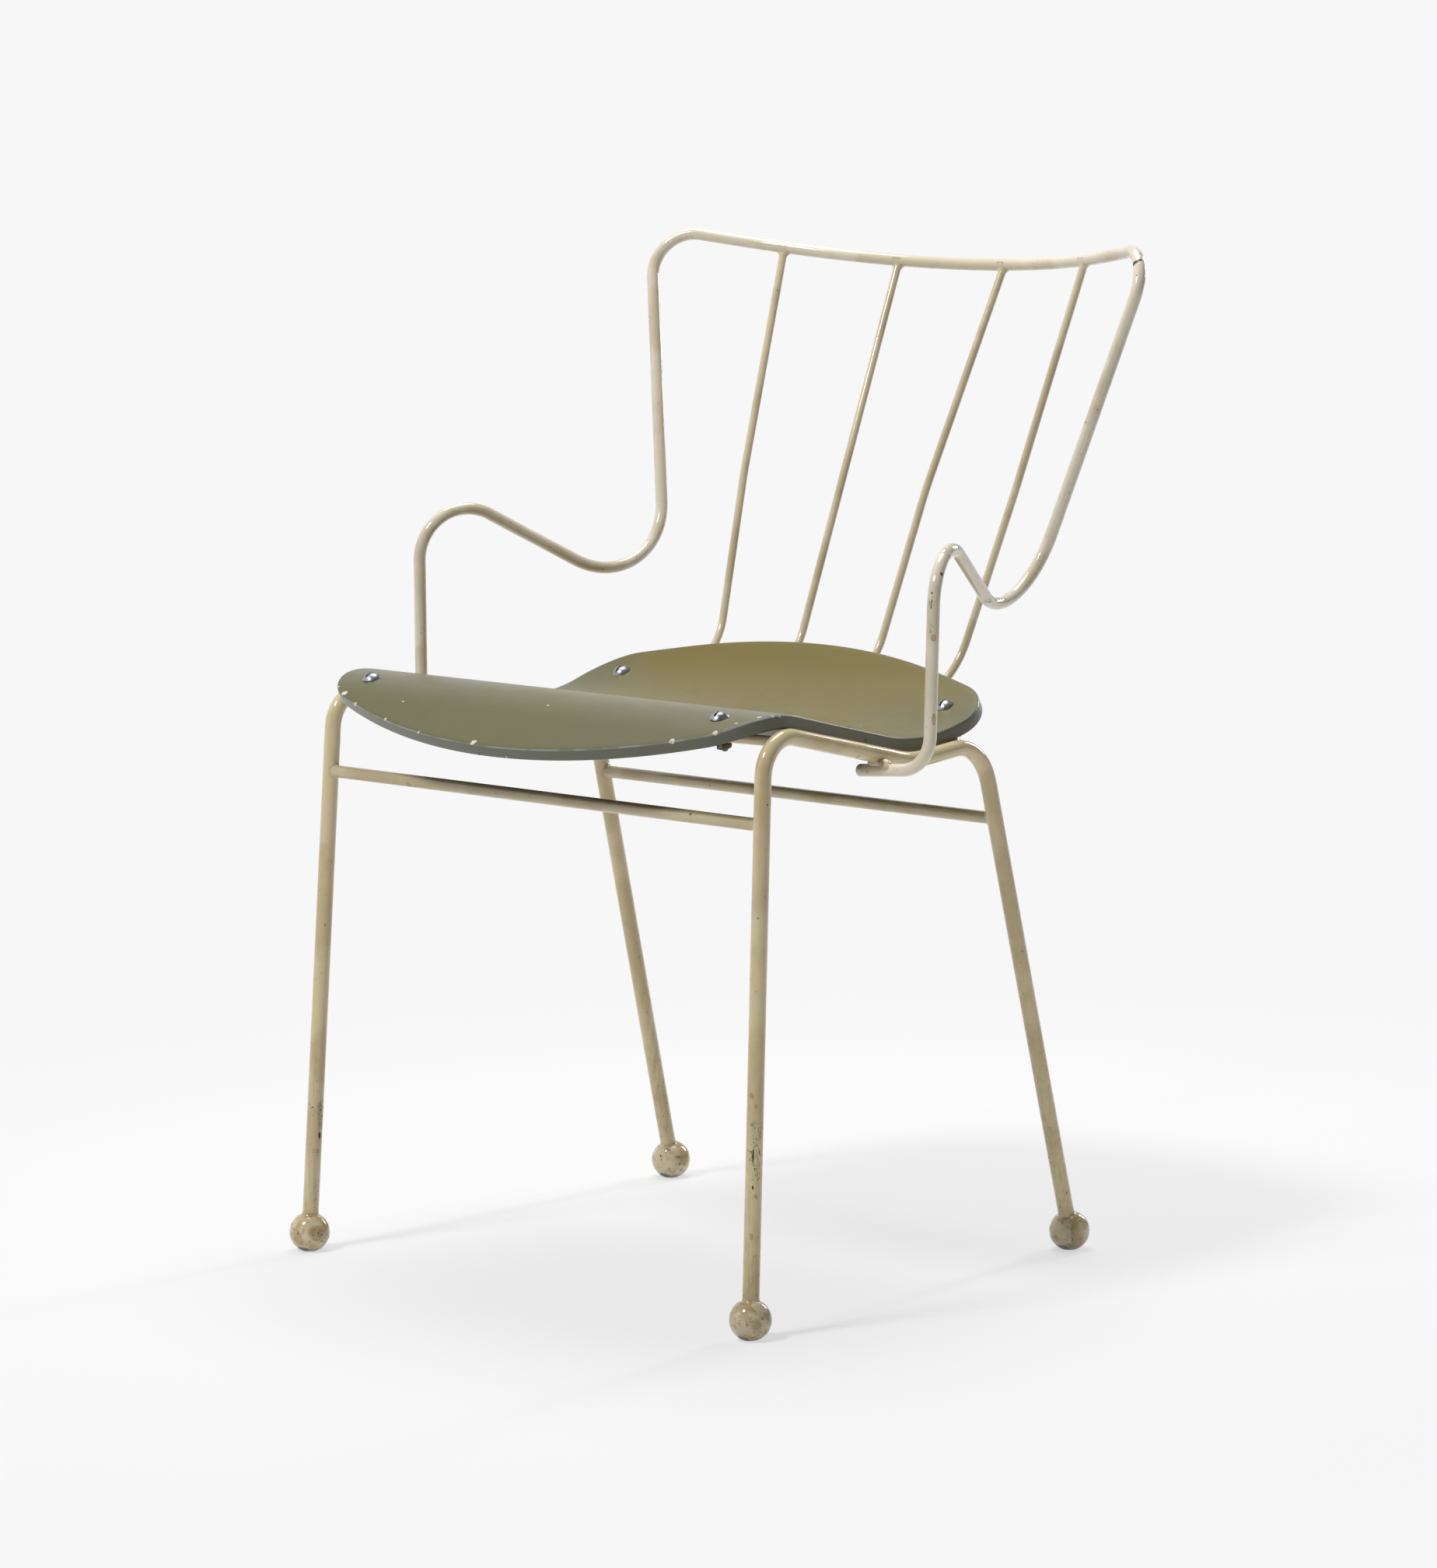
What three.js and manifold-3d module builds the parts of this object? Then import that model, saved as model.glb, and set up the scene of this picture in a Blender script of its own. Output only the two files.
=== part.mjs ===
// Garden armchair: a welded frame of bent steel rod, a bolted seat of moulded
// plywood and four ball feet.
// Millimetres, +Z up, the sitter faces -Y and the sitter's left is +X. Everything
// but the slots of the bolts is mirrored about X = 0.
import * as THREE from 'three';
import { mergeVertices } from 'three/addons/utils/BufferGeometryUtils.js';
import Module from 'manifold-3d';

const wasm = await Module();
wasm.setup();

// Rod and sheet stock
const LEG_ROD_DIAMETER = 13;
const ARM_ROD_DIAMETER = 10;
const RAIL_ROD_DIAMETER = 8;
const STRETCHER_DIAMETER = 10;
const SPINDLE_DIAMETER = 6.5;
const PLY_THICKNESS = 11.1;
const JOINT_GAP = 0.3;

// Side frame: corners of the bent rod, each with the radius of its bend
const SHOULDER_HEIGHT = 458.4;
const FRONT_SHOULDER_SETBACK = 167;
const FRONT_SHOULDER_RADIUS = 30;
const SIDE_RAIL_LENGTH = 270;
const SIDE_RAIL_FALL = 38.5;
const SIDE_RAIL_FLARE = 20;
const REAR_SHOULDER_HALF_WIDTH = 214;
const REAR_SHOULDER_RADIUS = 42;
const SIDE_RAIL_SAG = 4.5;
const SAG_DISTANCE = 176;
const SAG_RADIUS = 110;
const FRONT_LEG_SPLAY = 32;
const REAR_LEG_SPLAY = 96;
const FRONT_LEG_SPREAD = 9;
const REAR_LEG_SPREAD = 7;

// Stretchers between the legs
const FRONT_STRETCHER_DROP = 70.5;
const REAR_STRETCHER_DROP = 62.5;

// Ball feet
const BALL_DIAMETER = 32.5;
const BALL_FLAT_DEPTH = 1.2;
const SOCKET_ABOVE_CENTRE = 3;

// Moulded seat: the underside's side profile is two arcs and three straights. The
// ridge is measured from the front shoulders and the dip from the rear ones. Each
// settles a little below the crest of the bends, between the two side rails.
const RIDGE_SETBACK = 20.5;
const RIDGE_RADIUS = 83;
const RIDGE_SETTLE = 0.8;
const DIP_BEFORE_REAR = 68;
const DIP_RADIUS = 180;
const DIP_SETTLE = 1.7;
const FRONT_PITCH_DEG = 30;
const TAIL_PITCH_DEG = 37;

// Moulded seat: half the outline seen from above is five arcs. The waist is the
// narrowest place, measured from the rear shoulders.
const SEAT_FRONT_OVERHANG = 57.5;
const SEAT_REAR_OVERHANG = 56;
const WAIST_INBOARD = 1.5;
const WAIST_BEFORE_REAR = 38;
const FRONT_EDGE_RADIUS = 575;
const REAR_EDGE_RADIUS = 660;
const SIDE_EDGE_RADIUS = 1240;
const FRONT_CORNER_RADIUS = 49;
const REAR_CORNER_RADIUS = 46;

// Seat bolts and nuts
const BOLT_DIAMETER = 5;
const BOLT_HOLE_CLEARANCE = 0.4;
const BOLT_HEAD_DIAMETER = 15;
const BOLT_HEAD_HEIGHT = 4.4;
const BOLT_OVERHANG = 2.5;
const SLOT_WIDTH = 1.8;
const SLOT_DEPTH = 1.8;
const NUT_ACROSS_FLATS = 11;
const NUT_THICKNESS = 4.5;
const FRONT_BOLT_INBOARD = 44.5;
const REAR_BOLT_INBOARD = 37;
const FRONT_BOLT_INSET = 58.5;
const REAR_BOLT_INSET = 52.5;

// Arm and back rod: corners and bend radii. The arms start from the side rails,
// and the back is measured from the rear shoulders.
const ARM_WELD_DISTANCE = 137;
const ARM_TAIL_LENGTH = 19;
const ARM_TAIL_REACH = 50;
const ARM_TAIL_SLANT = 3;
const ARM_TAIL_RISE = 4;
const ARM_TAIL_RADIUS = 29;
const ARM_LEAN_OUT = 4;
const ARM_LEAN_BACK = 5;
const ARM_CREST_RISE = 152;
const ARM_CREST_RADIUS = 41.5;
const ARM_DIP_INBOARD = 23.5;
const ARM_DIP_BEHIND_REAR = 67;
const ARM_DIP_RISE = 32;
const ARM_DIP_RADIUS = 61.5;
const EAR_OUTBOARD = 59;
const EAR_BEHIND_REAR = 141;
const EAR_RISE = 342.5;
const EAR_RADIUS = 34;
const CROWN_BEHIND_REAR = 265.5;
const CROWN_RISE = 299;
const CROWN_RADIUS = 470;

// Back spindles
const OUTER_SPINDLE_TOP_HALF_SPACING = 164;
const INNER_SPINDLE_TOP_HALF_SPACING = 57.5;
const OUTER_SPINDLE_FOOT_HALF_SPACING = 130.5;
const INNER_SPINDLE_FOOT_HALF_SPACING = 43;
const SPINDLE_HEEL_REACH = 62.5;
const SPINDLE_HEEL_RISE = 33;
const SPINDLE_HEEL_RADIUS = 62;
const OUTER_KNEE_OUT = 3;
const OUTER_KNEE_FORWARD = 1;
const INNER_KNEE_IN = 3;
const INNER_KNEE_FORWARD = 3.5;
const KNEE_RADIUS = 320;
const KNEE_SHARE = 0.43;

// Seat rails: past the bolts their ends are cranked in towards the side rails
const CRANK_INSET = 8;
const CRANK_RADIUS = 8;
const FRONT_WELD_DISTANCE = 17;
const FRONT_WELD_DROP = 0.5;
const REAR_WELD_BEFORE_REAR = 33;
const REAR_WELD_DROP = 3;

// Fineness of the facets
const CHORD_ERROR = 0.2;
const OVERRUN = 2;
const ROD_SIDES = 14;
const THIN_ROD_SIDES = 12;
const SPINDLE_SIDES = 10;
const BALL_SEGMENTS = 20;
const BALL_RINGS = 9;
const BOLT_SEGMENTS = 16;
const SEAT_ROWS = 44;

const SIDES = [['left', 1], ['right', -1]];

const enamel = () => new THREE.MeshStandardMaterial({ color: 0xcdc4ae, roughness: 0.3, metalness: 0 });
const wornEnamel = () => new THREE.MeshStandardMaterial({ color: 0xb3a78f, roughness: 0.38, metalness: 0 });
const paintedPly = () => new THREE.MeshStandardMaterial({ color: 0x8a8059, roughness: 0.42, metalness: 0 });
const zinc = () => new THREE.MeshStandardMaterial({ color: 0xb4b7bb, roughness: 0.25, metalness: 1 });
const rustyZinc = () => new THREE.MeshStandardMaterial({ color: 0x6d675a, roughness: 0.6, metalness: 0.7 });

const vec = (x, y, z) => new THREE.Vector3(x, y, z);
const mirrored = (p) => vec(-p.x, p.y, p.z);

// A rod's centre line: straight runs between corners, each corner rounded by an
// arc. It is measured in stations, one at each end of a run and a few round each
// bend, so a straight run has no rings between its ends.
class RodPath extends THREE.Curve {
  constructor(corners, radii) {
    super();
    this.points = [corners[0].clone()];
    this.tangents = [corners[1].clone().sub(corners[0]).normalize()];
    for (let i = 1; i < corners.length - 1; i += 1) {
      this.addBend(corners[i - 1], corners[i], corners[i + 1], radii[i - 1]);
    }
    const end = corners[corners.length - 1];
    this.points.push(end.clone());
    this.tangents.push(end.clone().sub(corners[corners.length - 2]).normalize());
  }

  addBend(before, corner, after, radius) {
    const inward = corner.clone().sub(before).normalize();
    const outward = after.clone().sub(corner).normalize();
    const turn = inward.angleTo(outward);
    const run = radius * Math.tan(turn / 2);
    const start = corner.clone().addScaledVector(inward, -run);
    const side = outward.clone().addScaledVector(inward, -outward.dot(inward)).normalize();
    const step = 2 * Math.acos(1 - CHORD_ERROR / radius);
    const count = Math.max(2, Math.ceil(turn / step));
    for (let i = 0; i <= count; i += 1) {
      const angle = (turn * i) / count;
      const point = start.clone().addScaledVector(inward, radius * Math.sin(angle));
      this.points.push(point.addScaledVector(side, radius * (1 - Math.cos(angle))));
      const tangent = inward.clone().multiplyScalar(Math.cos(angle));
      this.tangents.push(tangent.addScaledVector(side, Math.sin(angle)));
    }
  }

  get steps() {
    return this.points.length - 1;
  }

  getPoint(t, target = new THREE.Vector3()) {
    const place = Math.min(Math.max(t, 0), 1) * this.steps;
    const i = Math.min(Math.floor(place), this.steps - 1);
    return target.lerpVectors(this.points[i], this.points[i + 1], place - i);
  }

  getTangent(t, target = new THREE.Vector3()) {
    const place = Math.min(Math.max(t, 0), 1) * this.steps;
    const i = Math.min(Math.floor(place), this.steps - 1);
    return target.lerpVectors(this.tangents[i], this.tangents[i + 1], place - i).normalize();
  }

  getPointAt(u, target) {
    return this.getPoint(u, target);
  }

  getTangentAt(u, target) {
    return this.getTangent(u, target);
  }

  // The highest point of the centre line among the stations from y0 to y1
  crest(y0, y1) {
    const inside = this.points.filter((p) => p.y >= y0 && p.y <= y1);
    return inside.reduce((best, p) => (p.z > best.z ? p : best));
  }

  // The point of the centre line where one coordinate takes a value, the last
  // such place along the rod
  crossing(axis, value) {
    for (let i = this.steps; i > 0; i -= 1) {
      const a = this.points[i - 1];
      const b = this.points[i];
      if ((a[axis] - value) * (b[axis] - value) <= 0 && a[axis] !== b[axis]) {
        return a.clone().lerp(b, (value - a[axis]) / (b[axis] - a[axis]));
      }
    }
    throw new Error(`the rod never reaches ${axis} = ${value}`);
  }
}

function roundSection(radius, sides) {
  const points = [];
  for (let i = 0; i < sides; i += 1) {
    const angle = (2 * Math.PI * (i + 0.5)) / sides;
    points.push(new THREE.Vector2(radius * Math.cos(angle), radius * Math.sin(angle)));
  }
  return new THREE.Shape(points);
}

function rod(path, diameter, sides) {
  const section = roundSection(diameter / 2, sides);
  return new THREE.ExtrudeGeometry(section, { extrudePath: path, steps: path.steps });
}

function toSolid(geometry) {
  const bare = geometry.clone();
  bare.deleteAttribute('normal');
  bare.deleteAttribute('uv');
  const merged = mergeVertices(bare);
  const vertProperties = Float32Array.from(merged.attributes.position.array);
  const triVerts = Uint32Array.from(merged.index.array);
  return new wasm.Manifold(new wasm.Mesh({ numProp: 3, vertProperties, triVerts }));
}

function toGeometry(solid) {
  const mesh = solid.getMesh();
  const geometry = new THREE.BufferGeometry();
  geometry.setAttribute('position', new THREE.BufferAttribute(mesh.vertProperties, mesh.numProp));
  geometry.setIndex(new THREE.BufferAttribute(mesh.triVerts, 1));
  geometry.computeVertexNormals();
  return geometry;
}

function cut(geometry, ...tools) {
  const solid = tools.reduce((left, tool) => left.subtract(toSolid(tool)), toSolid(geometry));
  return toGeometry(solid);
}

// A cylinder along a direction, from one point on its axis to another
function pin(from, to, radius, segments) {
  const axis = to.clone().sub(from);
  const geometry = new THREE.CylinderGeometry(radius, radius, axis.length(), segments);
  const turn = new THREE.Quaternion().setFromUnitVectors(vec(0, 1, 0), axis.clone().normalize());
  geometry.applyQuaternion(turn);
  const middle = from.clone().lerp(to, 0.5);
  return geometry.translate(middle.x, middle.y, middle.z);
}

function named(name, geometry, material) {
  const mesh = new THREE.Mesh(geometry, material);
  mesh.name = name;
  return mesh;
}

// Side frames
const frontShoulderY = -FRONT_SHOULDER_SETBACK;
const rearShoulderY = frontShoulderY + SIDE_RAIL_LENGTH;
const sagY = frontShoulderY + SAG_DISTANCE;
const rearShoulderHeight = SHOULDER_HEIGHT - SIDE_RAIL_FALL;
const ballCentreHeight = BALL_DIAMETER / 2 - BALL_FLAT_DEPTH;
const frontShoulderHalfWidth = REAR_SHOULDER_HALF_WIDTH + SIDE_RAIL_FLARE;
const sagHalfWidth = REAR_SHOULDER_HALF_WIDTH + SIDE_RAIL_FLARE / 2;

const frontShoulder = vec(frontShoulderHalfWidth, frontShoulderY, SHOULDER_HEIGHT);
const railSag = vec(sagHalfWidth, sagY, rearShoulderHeight - SIDE_RAIL_SAG);
const rearShoulder = vec(REAR_SHOULDER_HALF_WIDTH, rearShoulderY, rearShoulderHeight);
const frontBall = vec(
  frontShoulderHalfWidth + FRONT_LEG_SPREAD, frontShoulderY - FRONT_LEG_SPLAY, ballCentreHeight,
);
const rearBall = vec(
  REAR_SHOULDER_HALF_WIDTH + REAR_LEG_SPREAD, rearShoulderY + REAR_LEG_SPLAY, ballCentreHeight,
);

// A leg stops short of its ball's centre, at the bottom of the ball's socket
function legEnd(ball, shoulder) {
  const up = shoulder.clone().sub(ball).normalize();
  return ball.clone().addScaledVector(up, SOCKET_ABOVE_CENTRE + JOINT_GAP);
}

const sideCorners = [
  legEnd(frontBall, frontShoulder), frontShoulder, railSag, rearShoulder, legEnd(rearBall, rearShoulder),
];
const sideRadii = [FRONT_SHOULDER_RADIUS, SAG_RADIUS, REAR_SHOULDER_RADIUS];
const sidePath = new RodPath(sideCorners, sideRadii);
const sidePathOn = (side) => (side > 0 ? sidePath : new RodPath(sideCorners.map(mirrored), sideRadii));
const sideFrame = (side) => rod(sidePathOn(side), LEG_ROD_DIAMETER, ROD_SIDES);
const sideFrameRoom = (side) => rod(sidePathOn(side), LEG_ROD_DIAMETER + 2 * JOINT_GAP, ROD_SIDES);

// Seat profile, as heights of the underside above a place y
const frontCrest = sidePath.crest(frontShoulderY, sagY);
const rearCrest = sidePath.crest(sagY, rearShoulderY);
const legRadius = LEG_ROD_DIAMETER / 2;
const ridgeY = frontShoulderY + RIDGE_SETBACK;
const dipY = rearShoulderY - DIP_BEFORE_REAR;
const ridgeZ = frontCrest.z + legRadius + JOINT_GAP - RIDGE_SETTLE;
const rearCrestSagitta = DIP_RADIUS - Math.sqrt(DIP_RADIUS ** 2 - (rearCrest.y - dipY) ** 2);
const dipZ = rearCrest.z + legRadius + JOINT_GAP - DIP_SETTLE - rearCrestSagitta;
const ridgeCentreZ = ridgeZ - RIDGE_RADIUS;
const dipCentreZ = dipZ + DIP_RADIUS;
const frontPitch = THREE.MathUtils.degToRad(FRONT_PITCH_DEG);
const tailPitch = THREE.MathUtils.degToRad(TAIL_PITCH_DEG);

// The middle straight touches the ridge's circle from above and the dip's from
// below, so its pitch follows from the two centres and radii
function middlePitch() {
  const across = dipY - ridgeY;
  const up = dipCentreZ - ridgeCentreZ;
  const span = Math.hypot(across, up);
  return Math.asin((RIDGE_RADIUS + DIP_RADIUS) / span) - Math.atan2(up, across);
}

const slope = middlePitch();

// Height and pitch of the seat's underside at y, the pitch positive where it rises
function underside(y) {
  const ridgeFrom = ridgeY - RIDGE_RADIUS * Math.sin(frontPitch);
  const ridgeTo = ridgeY + RIDGE_RADIUS * Math.sin(slope);
  const dipFrom = dipY - DIP_RADIUS * Math.sin(slope);
  const dipTo = dipY + DIP_RADIUS * Math.sin(tailPitch);
  const straight = (y0, z0, pitch) => ({ z: z0 + (y - y0) * Math.tan(pitch), pitch });
  if (y < ridgeFrom) {
    return straight(ridgeFrom, ridgeCentreZ + RIDGE_RADIUS * Math.cos(frontPitch), frontPitch);
  }
  if (y < ridgeTo) {
    const pitch = Math.asin((ridgeY - y) / RIDGE_RADIUS);
    return { z: ridgeCentreZ + RIDGE_RADIUS * Math.cos(pitch), pitch };
  }
  if (y < dipFrom) {
    return straight(ridgeTo, ridgeCentreZ + RIDGE_RADIUS * Math.cos(slope), -slope);
  }
  if (y < dipTo) {
    const pitch = Math.asin((y - dipY) / DIP_RADIUS);
    return { z: dipCentreZ - DIP_RADIUS * Math.cos(pitch), pitch };
  }
  return straight(dipTo, dipCentreZ - DIP_RADIUS * Math.cos(tailPitch), tailPitch);
}

// A point a height above the seat's underside, square to it
function seatPoint(x, y, height) {
  const { z, pitch } = underside(y);
  return vec(x, y - height * Math.sin(pitch), z + height * Math.cos(pitch));
}

function seatNormal(y) {
  const { pitch } = underside(y);
  return vec(0, -Math.sin(pitch), Math.cos(pitch));
}

// Outline of the seat: bowed front and rear edges, straight sides that draw in
// towards the rear, and rounded corners
const seatFrontY = frontShoulderY - SEAT_FRONT_OVERHANG;
const seatRearY = rearShoulderY + SEAT_REAR_OVERHANG;
const waistY = rearShoulderY - WAIST_BEFORE_REAR;
const waistHalfWidth = REAR_SHOULDER_HALF_WIDTH - WAIST_INBOARD;
const flat = (x, y) => new THREE.Vector2(x, y);

// Where two circles cross, the crossing on the left going from one centre to the other
function circleCrossing(centre, radius, otherCentre, otherRadius) {
  const along = otherCentre.clone().sub(centre);
  const span = along.length();
  const reach = (span ** 2 + radius ** 2 - otherRadius ** 2) / (2 * span);
  const offset = Math.sqrt(radius ** 2 - reach ** 2);
  along.divideScalar(span);
  const crossing = centre.clone().addScaledVector(along, reach);
  return crossing.add(flat(-along.y, along.x).multiplyScalar(offset));
}

// A point on a circle, on the way from its centre towards another point
function rimPoint(centre, radius, towards) {
  return centre.clone().add(towards.clone().sub(centre).setLength(radius));
}

// Points of an arc, the first left out, the shorter way round
function arcPoints(centre, radius, from, to) {
  const start = from.clone().sub(centre).angle();
  const turn = to.clone().sub(centre).angle() - start;
  const shortTurn = turn - 2 * Math.PI * Math.round(turn / (2 * Math.PI));
  const step = 2 * Math.acos(1 - CHORD_ERROR / radius);
  const count = Math.ceil(Math.abs(shortTurn) / step);
  const points = [];
  for (let i = 1; i <= count; i += 1) {
    const angle = start + (shortTurn * i) / count;
    points.push(flat(centre.x + radius * Math.cos(angle), centre.y + radius * Math.sin(angle)));
  }
  return points;
}

// The half of the outline on the +X side, from the front's middle to the rear's:
// five arcs, each running smoothly into the next
function halfOutline() {
  const front = flat(0, seatFrontY + FRONT_EDGE_RADIUS);
  const rear = flat(0, seatRearY - REAR_EDGE_RADIUS);
  const side = flat(waistHalfWidth + SIDE_EDGE_RADIUS, waistY);
  const frontCorner = circleCrossing(
    side, SIDE_EDGE_RADIUS + FRONT_CORNER_RADIUS, front, FRONT_EDGE_RADIUS - FRONT_CORNER_RADIUS,
  );
  const rearCorner = circleCrossing(
    rear, REAR_EDGE_RADIUS - REAR_CORNER_RADIUS, side, SIDE_EDGE_RADIUS + REAR_CORNER_RADIUS,
  );
  const joints = [
    flat(0, seatFrontY),
    rimPoint(frontCorner, -FRONT_CORNER_RADIUS, front),
    rimPoint(frontCorner, FRONT_CORNER_RADIUS, side),
    rimPoint(rearCorner, REAR_CORNER_RADIUS, side),
    rimPoint(rearCorner, -REAR_CORNER_RADIUS, rear),
    flat(0, seatRearY),
  ];
  return [
    joints[0],
    ...arcPoints(front, FRONT_EDGE_RADIUS, joints[0], joints[1]),
    ...arcPoints(frontCorner, FRONT_CORNER_RADIUS, joints[1], joints[2]),
    ...arcPoints(side, SIDE_EDGE_RADIUS, joints[2], joints[3]),
    ...arcPoints(rearCorner, REAR_CORNER_RADIUS, joints[3], joints[4]),
    ...arcPoints(rear, REAR_EDGE_RADIUS, joints[4], joints[5]),
  ];
}

// Half width of the seat at y, read off its outline
function halfWidthAt(outline, y) {
  for (let i = 1; i < outline.length; i += 1) {
    if (outline[i].y >= y) {
      const share = (y - outline[i - 1].y) / (outline[i].y - outline[i - 1].y);
      return THREE.MathUtils.lerp(outline[i - 1].x, outline[i].x, share);
    }
  }
  return outline[outline.length - 1].x;
}

// Rows lie closest together near the front and rear edges, where the width
// changes fastest. Each row is a strip across the seat, two points above and two
// below, and the first and last rows are short straights at the two middles.
function seatRows() {
  const outline = halfOutline();
  const rows = [];
  for (let i = 0; i <= SEAT_ROWS; i += 1) {
    const share = (1 - Math.cos((Math.PI * (i + 0.5)) / (SEAT_ROWS + 1))) / 2;
    const y = THREE.MathUtils.lerp(seatFrontY, seatRearY, share);
    rows.push({ y, halfWidth: halfWidthAt(outline, y) });
  }
  return rows;
}

function seatBlank() {
  const rows = seatRows();
  const positions = [];
  rows.forEach(({ y, halfWidth }) => {
    positions.push(...seatPoint(-halfWidth, y, PLY_THICKNESS).toArray());
    positions.push(...seatPoint(halfWidth, y, PLY_THICKNESS).toArray());
    positions.push(...seatPoint(halfWidth, y, 0).toArray());
    positions.push(...seatPoint(-halfWidth, y, 0).toArray());
  });
  const index = [];
  const quad = (a, b, c, d) => index.push(a, b, c, a, c, d);
  for (let i = 0; i < rows.length - 1; i += 1) {
    const near = 4 * i;
    const far = near + 4;
    for (let k = 0; k < 4; k += 1) {
      quad(near + k, near + ((k + 1) % 4), far + ((k + 1) % 4), far + k);
    }
  }
  const last = 4 * (rows.length - 1);
  quad(3, 2, 1, 0);
  quad(last, last + 1, last + 2, last + 3);
  const geometry = new THREE.BufferGeometry();
  geometry.setAttribute('position', new THREE.Float32BufferAttribute(positions, 3));
  geometry.setIndex(index);
  geometry.computeVertexNormals();
  return geometry;
}

// Seat bolts stand square to the ply, through the seat and the rail below it
const frontBoltY = seatFrontY + FRONT_BOLT_INSET;
const rearBoltY = seatRearY - REAR_BOLT_INSET;
const frontBoltX = frontShoulderHalfWidth - FRONT_BOLT_INBOARD;
const rearBoltX = REAR_SHOULDER_HALF_WIDTH - REAR_BOLT_INBOARD;
const BOLTS = SIDES.flatMap(([word, side], i) => [
  { name: `front_${word}`, x: side * frontBoltX, y: frontBoltY, slotShare: 0.54 - i / 11 },
  { name: `rear_${word}`, x: side * rearBoltX, y: rearBoltY, slotShare: 0.52 - i / 30 },
]);
const boltHoleRadius = BOLT_DIAMETER / 2 + BOLT_HOLE_CLEARANCE;
const railRadius = RAIL_ROD_DIAMETER / 2;
const gripLength = RAIL_ROD_DIAMETER + 2 * JOINT_GAP;

function boltHole({ x, y }) {
  const top = seatPoint(x, y, PLY_THICKNESS + OVERRUN);
  const bottom = seatPoint(x, y, -gripLength - OVERRUN);
  return pin(bottom, top, boltHoleRadius, BOLT_SEGMENTS);
}

function seat() {
  return cut(seatBlank(), ...BOLTS.map(boltHole));
}

// A bolt's own axis is +Z with its head's underside at zero
function boltBlank() {
  const radius = BOLT_HEAD_DIAMETER / 2;
  const sphere = (radius ** 2 + BOLT_HEAD_HEIGHT ** 2) / (2 * BOLT_HEAD_HEIGHT);
  const reach = Math.asin(Math.min(1, radius / sphere));
  const length = PLY_THICKNESS + JOINT_GAP + gripLength + NUT_THICKNESS + BOLT_OVERHANG;
  const profile = [
    new THREE.Vector2(0, -length),
    new THREE.Vector2(BOLT_DIAMETER / 2, -length),
    new THREE.Vector2(BOLT_DIAMETER / 2, 0),
  ];
  const rings = 5;
  for (let i = 0; i < rings; i += 1) {
    const angle = reach * (1 - i / rings);
    const height = BOLT_HEAD_HEIGHT - sphere * (1 - Math.cos(angle));
    profile.push(new THREE.Vector2(sphere * Math.sin(angle), height));
  }
  profile.push(new THREE.Vector2(0, BOLT_HEAD_HEIGHT));
  return new THREE.LatheGeometry(profile, BOLT_SEGMENTS).rotateX(Math.PI / 2);
}

function boltGeometry() {
  const slot = new THREE.BoxGeometry(BOLT_HEAD_DIAMETER + OVERRUN, SLOT_WIDTH, 2 * SLOT_DEPTH);
  return cut(boltBlank(), slot.translate(0, 0, BOLT_HEAD_HEIGHT));
}

function placeOnSeat(mesh, bolt, height, twist) {
  const lean = new THREE.Quaternion().setFromUnitVectors(vec(0, 0, 1), seatNormal(bolt.y));
  const spin = new THREE.Quaternion().setFromAxisAngle(vec(0, 0, 1), twist);
  mesh.position.copy(seatPoint(bolt.x, bolt.y, height));
  mesh.quaternion.copy(lean.multiply(spin));
  return mesh;
}

function seatBolt(bolt) {
  const mesh = named(`seat_bolt_${bolt.name}`, boltGeometry(), zinc());
  return placeOnSeat(mesh, bolt, PLY_THICKNESS + JOINT_GAP, Math.PI * bolt.slotShare);
}

function seatNut(bolt) {
  const hexagon = roundSection(NUT_ACROSS_FLATS / 2 / Math.cos(Math.PI / 6), 6);
  hexagon.holes.push(roundSection(BOLT_DIAMETER / 2 + JOINT_GAP, BOLT_SEGMENTS));
  const geometry = new THREE.ExtrudeGeometry(hexagon, { depth: NUT_THICKNESS, bevelEnabled: false });
  const mesh = named(`seat_nut_${bolt.name}`, geometry, rustyZinc());
  return placeOnSeat(mesh, bolt, -gripLength - NUT_THICKNESS, Math.PI * bolt.slotShare);
}

// Seat rails: rods under the seat, drilled for the bolts
const railCentre = (x, boltY) => seatPoint(x, boltY, -railRadius - JOINT_GAP);
const holesAt = (y) => BOLTS.filter((bolt) => bolt.y === y).map(boltHole);

function seatRailPath(boltX, boltY, weldY, weldDrop) {
  const weld = sidePath.crossing('y', weldY);
  weld.sub(vec(legRadius / 2, 0, weldDrop));
  const knee = railCentre(boltX + CRANK_INSET, boltY);
  return new RodPath([mirrored(weld), mirrored(knee), knee, weld], [CRANK_RADIUS, CRANK_RADIUS]);
}

const frontWeldY = frontShoulderY + FRONT_WELD_DISTANCE;
const rearWeldY = rearShoulderY - REAR_WELD_BEFORE_REAR;
const frontRail = seatRailPath(frontBoltX, frontBoltY, frontWeldY, FRONT_WELD_DROP);
const rearRail = seatRailPath(rearBoltX, rearBoltY, rearWeldY, REAR_WELD_DROP);

function seatRail(path, boltY) {
  const blank = rod(path, RAIL_ROD_DIAMETER, THIN_ROD_SIDES);
  return cut(blank, sideFrameRoom(1), sideFrameRoom(-1), ...holesAt(boltY));
}

// Stretchers run straight across between the legs
function stretcher(ball, shoulder, drop) {
  const share = drop / (shoulder.z - ball.z);
  const end = shoulder.clone().lerp(ball, share);
  const path = new RodPath([mirrored(end), end], []);
  const blank = rod(path, STRETCHER_DIAMETER, THIN_ROD_SIDES);
  return cut(blank, sideFrameRoom(1), sideFrameRoom(-1));
}

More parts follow.
